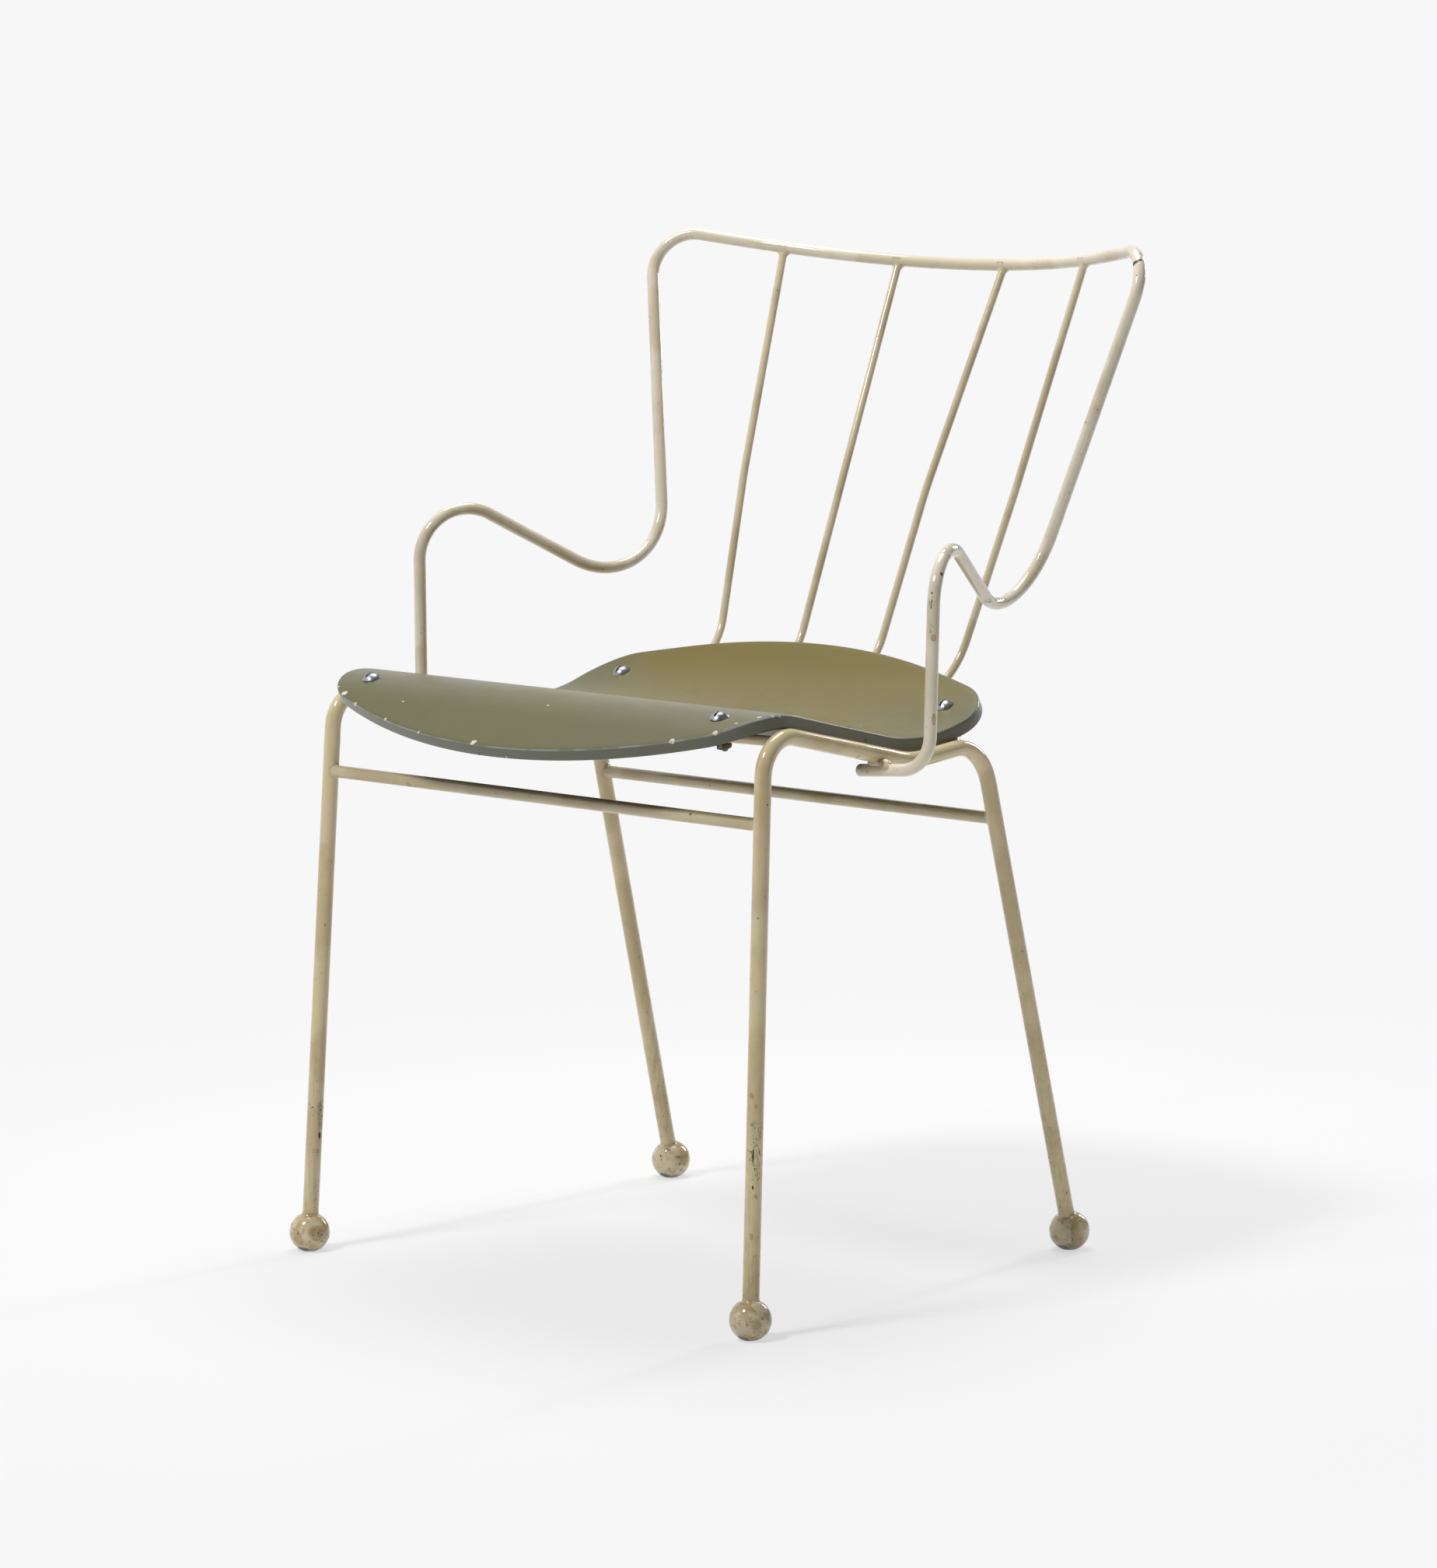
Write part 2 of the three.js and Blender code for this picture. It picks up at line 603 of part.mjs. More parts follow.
// Ball feet, flattened where they stand, with a socket for the leg
function ballBlank() {
  const radius = BALL_DIAMETER / 2;
  const flatAngle = Math.acos(1 - BALL_FLAT_DEPTH / radius);
  const profile = [new THREE.Vector2(0, -ballCentreHeight)];
  for (let i = 0; i < BALL_RINGS; i += 1) {
    const angle = flatAngle + ((Math.PI - flatAngle) * i) / BALL_RINGS;
    profile.push(new THREE.Vector2(radius * Math.sin(angle), -radius * Math.cos(angle)));
  }
  profile.push(new THREE.Vector2(0, radius));
  return new THREE.LatheGeometry(profile, BALL_SEGMENTS).rotateX(Math.PI / 2);
}

function ballFoot(name, ball, shoulder) {
  const up = shoulder.clone().sub(ball).normalize();
  const bottom = up.clone().multiplyScalar(SOCKET_ABOVE_CENTRE);
  const top = up.clone().multiplyScalar(BALL_DIAMETER);
  const geometry = cut(ballBlank(), pin(bottom, top, legRadius + JOINT_GAP, BALL_SEGMENTS));
  const mesh = named(name, geometry, wornEnamel());
  mesh.position.copy(ball);
  return mesh;
}

// Arm and back rod. Its tail lies under the side rail, a weld's gap below it.
function tailPoints() {
  const weldY = frontShoulderY + ARM_WELD_DISTANCE;
  const along = railSag.clone().sub(frontShoulder).normalize();
  const share = (weldY - frontShoulderY) / (sagY - frontShoulderY);
  const onRail = frontShoulder.clone().lerp(railSag, share);
  const reach = vec(ARM_TAIL_REACH, ARM_TAIL_SLANT, ARM_TAIL_RISE);
  const down = along.clone().cross(reach).normalize();
  down.multiplyScalar(Math.sign(-down.z));
  const spacing = legRadius + ARM_ROD_DIAMETER / 2 + JOINT_GAP;
  const weld = onRail.addScaledVector(down, spacing);
  const end = weld.clone().addScaledVector(reach.clone().normalize(), -ARM_TAIL_LENGTH);
  return { end, corner: weld.clone().add(reach) };
}

function backCorners() {
  const { end, corner } = tailPoints();
  const at = (x, behindRear, rise) => vec(x, rearShoulderY + behindRear, SHOULDER_HEIGHT + rise);
  const crest = vec(corner.x + ARM_LEAN_OUT, corner.y + ARM_LEAN_BACK, SHOULDER_HEIGHT + ARM_CREST_RISE);
  const dip = at(REAR_SHOULDER_HALF_WIDTH - ARM_DIP_INBOARD, ARM_DIP_BEHIND_REAR, ARM_DIP_RISE);
  const ear = at(REAR_SHOULDER_HALF_WIDTH + EAR_OUTBOARD, EAR_BEHIND_REAR, EAR_RISE);
  const crown = at(0, CROWN_BEHIND_REAR, CROWN_RISE);
  const half = [end, corner, crest, dip, ear];
  return [...half.map(mirrored), crown, ...half.reverse()];
}

const armRadii = [ARM_TAIL_RADIUS, ARM_CREST_RADIUS, ARM_DIP_RADIUS, EAR_RADIUS];
const backPath = new RodPath(backCorners(), [...armRadii, CROWN_RADIUS, ...armRadii.slice().reverse()]);
const backRodRoom = () => rod(backPath, ARM_ROD_DIAMETER + 2 * JOINT_GAP, THIN_ROD_SIDES);

// The top rail alone, from ear to ear
const [ear, crown, farEar] = backCorners().slice(4, 7);
const topRail = new RodPath([ear, crown, farEar], [CROWN_RADIUS]);

// Back spindles hang from the top rail, bow a little at the knee, and turn
// forward at the heel to end on the rear seat rail
function spindlePath(topX, footX, kneeShift) {
  const top = topRail.crossing('x', topX);
  const foot = rearRail.crossing('x', footX);
  const heel = foot.clone().add(vec(0, SPINDLE_HEEL_REACH, SPINDLE_HEEL_RISE));
  const knee = heel.clone().lerp(top, KNEE_SHARE).add(kneeShift);
  return new RodPath([foot, heel, knee, top], [SPINDLE_HEEL_RADIUS, KNEE_RADIUS]);
}

function spindle(topX, footX, kneeShift) {
  const blank = rod(spindlePath(topX, footX, kneeShift), SPINDLE_DIAMETER, SPINDLE_SIDES);
  return cut(blank, backRodRoom(), rod(rearRail, RAIL_ROD_DIAMETER + 2 * JOINT_GAP, THIN_ROD_SIDES));
}

const chair = new THREE.Group();
SIDES.forEach(([word, side]) => {
  const outerTop = side * OUTER_SPINDLE_TOP_HALF_SPACING;
  const outerFoot = side * OUTER_SPINDLE_FOOT_HALF_SPACING;
  const innerTop = side * INNER_SPINDLE_TOP_HALF_SPACING;
  const innerFoot = side * INNER_SPINDLE_FOOT_HALF_SPACING;
  const on = (p) => (side > 0 ? p : mirrored(p));
  chair.add(named(`side_frame_${word}`, sideFrame(side), enamel()));
  const outerKnee = vec(side * OUTER_KNEE_OUT, -OUTER_KNEE_FORWARD, 0);
  const innerKnee = vec(-side * INNER_KNEE_IN, -INNER_KNEE_FORWARD, 0);
  chair.add(named(`spindle_outer_${word}`, spindle(outerTop, outerFoot, outerKnee), enamel()));
  chair.add(named(`spindle_inner_${word}`, spindle(innerTop, innerFoot, innerKnee), enamel()));
  chair.add(ballFoot(`ball_foot_front_${word}`, on(frontBall), on(frontShoulder)));
  chair.add(ballFoot(`ball_foot_rear_${word}`, on(rearBall), on(rearShoulder)));
});
chair.add(named('arm_and_back_rod', rod(backPath, ARM_ROD_DIAMETER, THIN_ROD_SIDES), enamel()));
chair.add(named('stretcher_front', stretcher(frontBall, frontShoulder, FRONT_STRETCHER_DROP), enamel()));
chair.add(named('stretcher_rear', stretcher(rearBall, rearShoulder, REAR_STRETCHER_DROP), enamel()));
chair.add(named('seat_rail_front', seatRail(frontRail, frontBoltY), enamel()));
chair.add(named('seat_rail_rear', seatRail(rearRail, rearBoltY), enamel()));
chair.add(named('seat', seat(), paintedPly()));
BOLTS.forEach((bolt) => chair.add(seatBolt(bolt), seatNut(bolt)));

// The origin is on the floor, under the middle of the chair's box
const box = new THREE.Box3().setFromObject(chair);
chair.position.y = -(box.min.y + box.max.y) / 2;

export default chair;
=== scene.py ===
"""Finished looks of a garden armchair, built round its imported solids.

A welded frame of bent steel rod in cream enamel, a bolted seat of moulded plywood
painted olive, and four ball feet. Sizes are in millimetres in the row frame: +Z is
up, the sitter faces -Y and the sitter's left is +X. Meshes are written in metres.
"""

import logging
import math
from dataclasses import dataclass, field
from enum import Enum

import bpy
import numpy as np
from mathutils import Matrix


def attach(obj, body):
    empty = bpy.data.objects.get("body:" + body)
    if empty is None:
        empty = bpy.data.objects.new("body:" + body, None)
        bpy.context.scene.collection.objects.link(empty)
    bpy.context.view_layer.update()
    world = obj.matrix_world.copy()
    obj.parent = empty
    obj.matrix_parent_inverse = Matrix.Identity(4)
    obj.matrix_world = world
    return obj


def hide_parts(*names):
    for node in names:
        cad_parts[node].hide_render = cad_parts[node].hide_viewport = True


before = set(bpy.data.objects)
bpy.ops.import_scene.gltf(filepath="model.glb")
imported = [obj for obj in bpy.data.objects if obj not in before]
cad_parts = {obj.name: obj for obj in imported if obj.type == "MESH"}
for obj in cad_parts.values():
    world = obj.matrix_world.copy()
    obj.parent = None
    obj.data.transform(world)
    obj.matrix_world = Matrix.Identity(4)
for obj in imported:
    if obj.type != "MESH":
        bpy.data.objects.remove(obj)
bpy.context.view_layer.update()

Array = np.ndarray
Socket = bpy.types.NodeSocket
Piece = bpy.types.Object
Triple = tuple[float, float, float]
Quad = tuple[float, float, float, float]
Pair = tuple[float, float]

LOG = logging.getLogger("armchair")
MM = 0.001
BODY = "root"
UP = np.array([0.0, 0.0, 1.0])
SHARP_ANGLE = math.radians(38)
FULL_TURN = 2 * math.pi
HIDDEN = 0.6  # how far the end of a rod reaches into the rod that it is welded to
ASKEW = np.array([0.31, 0.22, 0.92])  # a direction that no rod starts along
QUARTER = np.linspace(0, math.pi / 2, 5)[:, None, None]  # steps round a cut end's rim
BEND = np.linspace(0, math.pi / 2, 6)  # steps round an arris
THIN_SIDES = 24  # points round a thin rod
CORE = 0.3  # share of a zone's reach within which it has its full strength


class Side(Enum):
    """The sitter's left and right, with the sign of X there."""

    LEFT = 1
    RIGHT = -1

    @property
    def word(self) -> str:
        """The side's name as the solids' names have it."""
        return self.name.lower()

    @property
    def flip(self) -> Array:
        """What a place on the left is multiplied by to lie on this side."""
        return np.array([self.value, 1.0, 1.0])


class Row(Enum):
    """The front and the rear pair of legs, bolts or feet."""

    FRONT = "front"
    REAR = "rear"


class Wear(Enum):
    """Kinds of worn place in the enamel."""

    FLAKE = "paint gone, dark steel showing"
    SCRATCH = "torn dark scribbles"
    STAIN = "ochre rust stain"
    RED = "speck of red primer"
    PIT = "dark ring round a pit"
    SMUDGE = "black smear"


def vec(x: float, y: float, z: float) -> Array:
    """A point or direction as an array."""
    return np.array([x, y, z], float)


def unit(v: Array) -> Array:
    """Vectors scaled to length one."""
    return v / np.linalg.norm(v, axis=-1, keepdims=True)


def round_angles(count: int) -> Array:
    """Angles evenly spaced round a circle."""
    return np.arange(count) / count * FULL_TURN


def circle(radius: Array | float, angles: Array, height: Array | float) -> Array:
    """Points round the Z axis: radius cos a, radius sin a and a height."""
    return np.stack(np.broadcast_arrays(radius * np.cos(angles), radius * np.sin(angles), height), -1)


def turned(v: Array, axis: Array, angles: Array) -> Array:
    """A vector turned about a unit axis: v cos a + (axis x v) sin a + axis (axis . v)(1 - cos a)."""
    cos, sin = np.cos(angles)[:, None], np.sin(angles)[:, None]
    return v * cos + np.cross(axis, v) * sin + axis * np.dot(axis, v) * (1 - cos)


def closed_mesh(name: str, rings: Array, poles: tuple[Array, Array] | None) -> Piece:
    """A closed skin over a grid of points.

    Each ring's last point joins its first. With poles, a fan of triangles closes the
    first and last rings on a point each; without, the last ring joins the first. The
    enclosed volume, a sum of corner products over the faces, tells whether the skin
    is inside out, and if so it is flipped.

    Args:
        name: The piece's name.
        rings: Points in millimetres, shaped rings x points x 3.
        poles: The two end points, or None for a skin that closes on itself.

    Returns:
        The new object, smooth but for its sharp edges.
    """
    rows, columns = rings.shape[:2]
    points = rings.reshape(-1, 3)
    i = np.arange(rows if poles is None else rows - 1)[:, None]
    j = np.arange(columns)[None, :]
    k = (j + 1) % columns
    above = (i + 1) % rows
    quads = np.stack(
        [i * columns + j, i * columns + k, above * columns + k, above * columns + j], -1
    ).reshape(-1, 4)
    fans = np.empty((0, 3), int)
    if poles is not None:
        points = np.vstack([points, *poles])
        last = (rows - 1) * columns
        j, k = j[0], k[0]
        start = np.stack([np.full(columns, len(points) - 2), k, j], -1)
        end = np.stack([np.full(columns, len(points) - 1), last + j, last + k], -1)
        fans = np.vstack([start, end])
    triangles = np.vstack([quads[:, [0, 1, 2]], quads[:, [0, 2, 3]], fans])
    a, b, c = (points[triangles[:, n]] for n in range(3))
    volume = np.einsum("ij,ij->", a, np.cross(b, c))
    corners = np.concatenate([quads.ravel(), fans.ravel()])
    sizes = np.concatenate([np.full(len(quads), 4), np.full(len(fans), 3)])
    mesh = bpy.data.meshes.new(name)
    mesh.vertices.add(len(points))
    mesh.vertices.foreach_set("co", (points * MM).astype(np.float32).ravel())
    mesh.loops.add(len(corners))
    mesh.loops.foreach_set("vertex_index", corners.astype(np.int32))
    mesh.polygons.add(len(sizes))
    mesh.polygons.foreach_set("loop_start", (np.cumsum(sizes) - sizes).astype(np.int32))
    mesh.update(calc_edges=True)
    if volume < 0:
        mesh.flip_normals()
    mesh.polygons.foreach_set("use_smooth", np.ones(len(sizes), bool))
    mesh.set_sharp_from_angle(angle=SHARP_ANGLE)
    piece = bpy.data.objects.new(name, mesh)
    bpy.context.scene.collection.objects.link(piece)
    return piece


def add_layer(piece: Piece, name: str, values: Array) -> None:
    """Stores a value per vertex, which a material reads by name."""
    layer = piece.data.attributes.new(name, "FLOAT", "POINT")
    layer.data.foreach_set("value", values.astype(np.float32))


def install(
    piece: Piece, material: bpy.types.Material, *nodes: str, slot: str = "frame_enamel"
) -> None:
    """Dresses a piece and ties it to the frame.

    Args:
        piece: The new piece.
        material: Its finish.
        nodes: The solids that it stands for.
        slot: The name of a material slot; not used.
    """
    piece.data.materials.append(material)
    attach(piece, BODY)
    if nodes:
        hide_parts(*nodes)
    LOG.info("%s: %d faces, %s", piece.name, len(piece.data.polygons), material.name)


# Rods and welds


@dataclass(frozen=True)
class Bar:
    """A short straight stretch of rod."""

    point: Array
    direction: Array
    radius: float

    def leaving(self, starts: Array, along: Array) -> Array:
        """How far lines run before they come out of the bar.

        A line is start + t along. Its distance from the bar's axis equals the radius
        at the roots of a quadratic in t, and the larger root is where it leaves. A
        line that misses the bar leaves at its nearest approach.

        Args:
            starts: Points that the lines start from, one a row.
            along: The unit direction that all of them follow.

        Returns:
            The value of t for each line.
        """
        off = starts - self.point
        off = off - np.outer(off @ self.direction, self.direction)
        across = along - along @ self.direction * self.direction
        a = across @ across
        b = 2 * off @ across
        c = np.einsum("ij,ij->i", off, off) - self.radius**2
        return (-b + np.sqrt(np.maximum(b * b - 4 * a * c, 0))) / (2 * a)


@dataclass
class BentRod:
    """A round rod with straight runs between corners and an arc round each corner.

    The ring at each station is turned with the bend, so the skin never twists.
    """

    corners: Array
    radii: tuple[float, ...]
    radius: float
    sides: int = 32
    step: float = math.radians(3)
    fewest_steps: int = 3
    points: Array = field(init=False)
    tangents: Array = field(init=False)
    normals: Array = field(init=False)

    def __post_init__(self) -> None:
        """Works out the stations: the two ends, and an arc at each corner.

        On an arc the tangent and the ring's first direction turn about the bend's
        axis, and the point turns about the arc's centre.
        """
        runs = unit(np.diff(self.corners, axis=0))
        side = unit(np.cross(runs[0], ASKEW))
        points, tangents, normals = [self.corners[:1]], [runs[:1]], [side[None]]
        for corner, before, after, radius in zip(
            self.corners[1:-1], runs[:-1], runs[1:], self.radii, strict=True
        ):
            axis = unit(np.cross(before, after))
            turn = math.acos(float(np.clip(before @ after, -1, 1)))
            steps = max(self.fewest_steps, math.ceil(turn / self.step) + 1)
            angles = np.linspace(0, turn, steps)
            start = corner - before * radius * math.tan(turn / 2)
            inward = np.cross(axis, before)
            centre = start + inward * radius
            points.append(centre + turned(-inward * radius, axis, angles))
            tangents.append(turned(before, axis, angles))
            normals.append(turned(side, axis, angles))
            side = normals[-1][-1]
        self.points = np.vstack([*points, self.corners[-1:]])
        self.tangents = np.vstack([*tangents, runs[-1:]])
        self.normals = np.vstack([*normals, side[None]])

    def ring_directions(self, station: int | slice) -> Array:
        """Unit directions from the centre line to the skin: n cos a + (t x n) sin a.

        Args:
            station: Which station, or which of them.

        Returns:
            The directions, shaped stations x sides x 3.
        """
        angles = round_angles(self.sides)
        n = np.atleast_2d(self.normals[station])[:, None, :]
        b = np.cross(np.atleast_2d(self.tangents[station]), n[:, 0])[:, None, :]
        return n * np.cos(angles)[None, :, None] + b * np.sin(angles)[None, :, None]

    def bar_near(self, point: Array) -> Bar:
        """The straight stretch of this rod that lies nearest to a point.

        Args:
            point: The point.

        Returns:
            The stretch, with its own nearest point on the centre line.
        """
        starts, spans = self.points[:-1], np.diff(self.points, axis=0)
        lengths = np.einsum("ij,ij->i", spans, spans)
        share = np.einsum("ij,ij->i", point - starts, spans) / np.maximum(lengths, 1e-9)
        nearest = starts + spans * np.clip(share, 0, 1)[:, None]
        best = int(np.argmin(np.linalg.norm(nearest - point, axis=1)))
        return Bar(nearest[best], unit(spans[best]), self.radius)

    def crossing(self, axis: int, value: float) -> Array:
        """The last point of the centre line where one coordinate takes a value.

        Args:
            axis: 0 for x or 1 for y.
            value: The coordinate.

        Returns:
            The point, by interpolation between the stations on each side of it.
        """
        at = self.points[:, axis] - value
        i = int(np.nonzero(at[:-1] * at[1:] <= 0)[0][-1])
        return self.points[i] + (self.points[i + 1] - self.points[i]) * at[i] / (at[i] - at[i + 1])

    def build(
        self, name: str, start: Bar | None = None, end: Bar | None = None, bevel: float = 0.7
    ) -> Piece:
        """The rod's skin: a ring at each station, and its ends closed.

        An end that meets another rod is coped: each of its points runs along the rod
        until just inside that rod's skin. Any other end is cut square and its rim is
        rounded by rings on a quarter circle.

        Args:
            name: The piece's name.
            start: The rod that the first end is welded to, if any.
            end: The rod that the last end is welded to, if any.
            bevel: Radius of the rounding at a cut end.

        Returns:
            The new object.
        """
        rings = self.points[:, None] + self.ring_directions(slice(None)) * self.radius
        rows, poles = [rings[1:-1]], []
        for place, other, inward in ((0, start, 1), (-1, end, -1)):
            tip, spread = self.points[place], self.ring_directions(place)[0]
            along = self.tangents[place] * inward
            if other is None:
                ends = tip + spread * (self.radius - bevel * (1 - np.sin(QUARTER)))
                ends = ends + along * bevel * (1 - np.cos(QUARTER))
                poles.append(tip)
            else:
                skin = tip + spread * self.radius
                leave = other.leaving(skin, along) - HIDDEN
                ends = (skin + leave[:, None] * along)[None]
                poles.append(tip + along * (leave.min() - HIDDEN))
            rows = [ends, *rows] if inward > 0 else [*rows, ends[::-1]]
        return closed_mesh(name, np.vstack(rows), (poles[0], poles[1]))


@dataclass(frozen=True)
class WeldFillet:
    """The hollow-faced weld round a thin rod where it ends on a thicker one."""

    leg: float
    spread: float = 0.6
    ripple: float = 0.12
    height: float = 1.15
    sunk: float = 0.15
    root: float = 1.0
    rows: int = 9
    waves: tuple[Triple, ...] = ((1.0, 3, 1), (0.7, 5, 2), (0.4, 9, 0))

    def build(self, name: str, rod: BentRod, station: int, thick: Bar) -> Piece:
        """The weld's skin, a ring whose section is a concave curve.

        The section's curve runs from the thin rod's skin to the thick one's, pulled
        towards the corner between them: a quadratic Bezier curve. It is larger along
        the thick rod than across it, and three sine waves make it uneven. Both its
        toes are sunk a little in the skins, and its root lies deeper.

        Args:
            name: The piece's name.
            rod: The thin rod.
            station: 0 for its first end, -1 for its last.
            thick: The rod that it is welded to.

        Returns:
            The new object.
        """
        along = rod.tangents[station] * (1 if station == 0 else -1)
        spread = rod.ring_directions(station)[0]
        facing = np.abs(spread @ thick.direction)
        a = round_angles(rod.sides)
        phase = float(rod.points[station].sum())
        wave = sum(h * np.sin(n * a + k * phase) for h, n, k in self.waves)
        size = self.leg * (1 - self.spread + self.spread * facing) * (1 + self.ripple * wave)
        s = np.linspace(0, 1, self.rows)[:, None]
        out = rod.radius - self.sunk * (1 - s) ** 2 + s**2 * size
        lift = (1 - s) ** 2 * size * self.height - self.sunk * s**2
        out = np.vstack([out, np.full((1, rod.sides), rod.radius - self.root)])
        lift = np.vstack([lift, np.full((1, rod.sides), -self.root)])
        starts = rod.points[station] + spread[None] * out[..., None]
        leave = thick.leaving(starts.reshape(-1, 3), along).reshape(out.shape)
        rings = starts + (leave + lift)[..., None] * along
        return closed_mesh(name, rings, None)


@dataclass(frozen=True)
class WeldBead:
    """A lump of weld in the corner between two rods that cross."""

    radii: Triple
    rows: int = 20
    columns: int = 36
    waves: tuple[Triple, ...] = ((0.022, 4, 2), (0.016, 7, -3))

    def build(self, name: str, centre: Array, along: Array, across: Array) -> Piece:
        """The bead's skin: an ellipsoid whose radius swells and dips in weld ripples.

        Args:
            name: The piece's name.
            centre: Its middle.
            along: The direction of its first radius.
            across: A direction in the plane of its first two radii.

        Returns:
            The new object.
        """
        first = unit(along)
        third = unit(np.cross(first, across))
        axes = np.stack([first, np.cross(third, first), third]) * np.array(self.radii)[:, None]
        tilt = np.linspace(0, math.pi, self.rows + 2)[1:-1, None]
        turn = round_angles(self.columns)[None, :]
        swell = 1 + sum(h * np.sin(n * tilt + k * turn) for h, n, k in self.waves)
        ball = np.stack(
            [np.cos(tilt) * swell, np.sin(tilt) * np.cos(turn) * swell,
             np.sin(tilt) * np.sin(turn) * swell], -1,
        )
        return closed_mesh(name, centre + ball @ axes, (centre + axes[0], centre - axes[0]))


# The chair's sizes


@dataclass(frozen=True)
class FrameSizes:
    """Where the bent rods go: corners of the side frames, the arms and the back.

    The chair is mirrored about X = 0, and all places here are on the sitter's left.
    """

    origin_shift: float = -47.6
    leg_radius: float = 6.5
    arm_radius: float = 5.0
    shoulder_height: float = 458.4
    front_y: float = -167.0
    rear_y: float = 103.0
    front_half_width: float = 234.0
    rear_half_width: float = 214.0
    rail_fall: float = 38.5
    sag: float = 4.5
    sag_y: float = 9.0
    leg_radii: Triple = (30.0, 110.0, 42.0)
    front_foot: Triple = (243.0, -199.0, 15.05)
    rear_foot: Triple = (221.0, 199.0, 15.05)
    leg_end: float = 3.3

    def at(self, x: float, y: float, z: float) -> Array:
        """A place measured from the middle of the legs, moved to the row frame."""
        return vec(x, y + self.origin_shift, z)

    def shoulder(self, row: Row) -> Array:
        """The corner between a side rail and a leg.

        Args:
            row: Which leg.

        Returns:
            The corner, where the straights would meet.
        """
        if row is Row.FRONT:
            return self.at(self.front_half_width, self.front_y, self.shoulder_height)
        height = self.shoulder_height - self.rail_fall
        return self.at(self.rear_half_width, self.rear_y, height)

    def foot(self, row: Row) -> Array:
        """The centre of a ball foot."""
        return self.at(*(self.front_foot if row is Row.FRONT else self.rear_foot))

    def leg_direction(self, row: Row) -> Array:
        """The unit direction from a ball foot up its leg."""
        return unit(self.shoulder(row) - self.foot(row))

    def side_corners(self) -> Array:
        """Corners of the left side frame.

        Returns:
            The front leg's end, the front shoulder, the sag, the rear shoulder and the end.
        """
        half = (self.front_half_width + self.rear_half_width) / 2
        height = self.shoulder_height - self.rail_fall - self.sag
        ends = [self.foot(row) + self.leg_direction(row) * self.leg_end for row in Row]
        front, rear = (self.shoulder(row) for row in Row)
        return np.stack([ends[0], front, self.at(half, self.sag_y, height), rear, ends[1]])

    def side_rod(self, side: Side) -> BentRod:
        """The rod of one side frame."""
        return BentRod(self.side_corners() * side.flip, self.leg_radii, self.leg_radius)


SIZES = FrameSizes()
ROD_ENDS = ((Side.RIGHT, 0), (Side.LEFT, -1))  # the sides and stations of a cross rod's ends


def build_across(
    name: str, rod: BentRod, bars: list[Bar], weld: WeldFillet, material: bpy.types.Material
) -> None:
    """Builds a rod that runs from side to side, and the weld at each end.

    Args:
        name: The solid's name.
        rod: The rod, from the right to the left.
        bars: The rods that its ends are welded to.
        weld: The welds' shape.
        material: Its enamel.
    """
    install(rod.build(f"{name}_rod", *bars), material, name)
    for (side, station), bar in zip(ROD_ENDS, bars, strict=True):
        install(weld.build(f"{name}_weld_{side.word}", rod, station, bar), material)


@dataclass(frozen=True)
class ArmAndBack:
    """One rod bent into both arms and the top of the back."""

    weld_y: float = -30.0
    tail_length: float = 19.0
    reach: Triple = (50.0, 3.0, 4.0)
    lean_out: float = 4.0
    lean_back: float = 5.0
    crest_rise: float = 152.0
    dip: Triple = (190.5, 170.0, 490.4)
    ear: Triple = (273.0, 244.0, 800.9)
    crown: Triple = (0.0, 368.5, 757.4)
    radii: tuple[float, ...] = (29.0, 41.5, 61.5, 34.0)
    crown_radius: float = 470.0
    gap: float = 0.3
    tail_bevel: float = 2.4
    bead_shift: float = 1.0
    bead_radii: Triple = (4.9, 11.0, 4.6)

    def weld(self) -> tuple[Array, Array]:
        """Where the arm's tail crosses under the side rail.

        The tail's centre line passes below the rail's by both radii and a gap, in the
        direction square to both rods.

        Returns:
            The point on the tail's centre line, and the unit direction down to it.
        """
        rail = SIZES.side_corners()
        run = unit(rail[2] - rail[1])
        y = self.weld_y + SIZES.origin_shift
        on_rail = rail[1] + (rail[2] - rail[1]) * (y - rail[1][1]) / (rail[2][1] - rail[1][1])
        down = unit(np.cross(run, vec(*self.reach)))
        down = down * -np.sign(down[2])
        return on_rail + down * (SIZES.leg_radius + SIZES.arm_radius + self.gap), down

    def corners(self) -> Array:
        """Corners of the whole rod.

        Returns:
            The corners, from the right arm's tail to the left arm's.
        """
        weld, _ = self.weld()
        reach = vec(*self.reach)
        front = weld + reach
        crest = vec(
            front[0] + self.lean_out, front[1] + self.lean_back,
            SIZES.shoulder_height + self.crest_rise,
        )
        end = weld - unit(reach) * self.tail_length
        half = np.stack([end, front, crest, SIZES.at(*self.dip), SIZES.at(*self.ear)])
        return np.vstack([half * Side.RIGHT.flip, SIZES.at(*self.crown), half[::-1]])

    def rod(self) -> BentRod:
        """The whole rod."""
        radii = (*self.radii, self.crown_radius, *self.radii[::-1])
        return BentRod(self.corners(), radii, SIZES.arm_radius)

    def top_rail(self) -> BentRod:
        """The part of the rod between the two ears, which the spindles hang from."""
        return BentRod(self.corners()[4:7], (self.crown_radius,), SIZES.arm_radius)

    def build(self, material: bpy.types.Material) -> None:
        """Builds the rod and the bead that welds each tail to its side rail.

        Args:
            material: The arms' enamel.
        """
        install(self.rod().build("arm_rod", bevel=self.tail_bevel), material, "arm_and_back_rod")
        weld, down = self.weld()
        contact = weld - down * (SIZES.arm_radius + self.gap / 2)
        tail = unit(vec(*self.reach))
        rail = unit(np.cross(tail, down))
        centre = contact + tail * self.bead_shift
        for side in Side:
            places = (v * side.flip for v in (centre, rail, tail))
            install(WeldBead(self.bead_radii).build(f"arm_weld_{side.word}", *places), material)


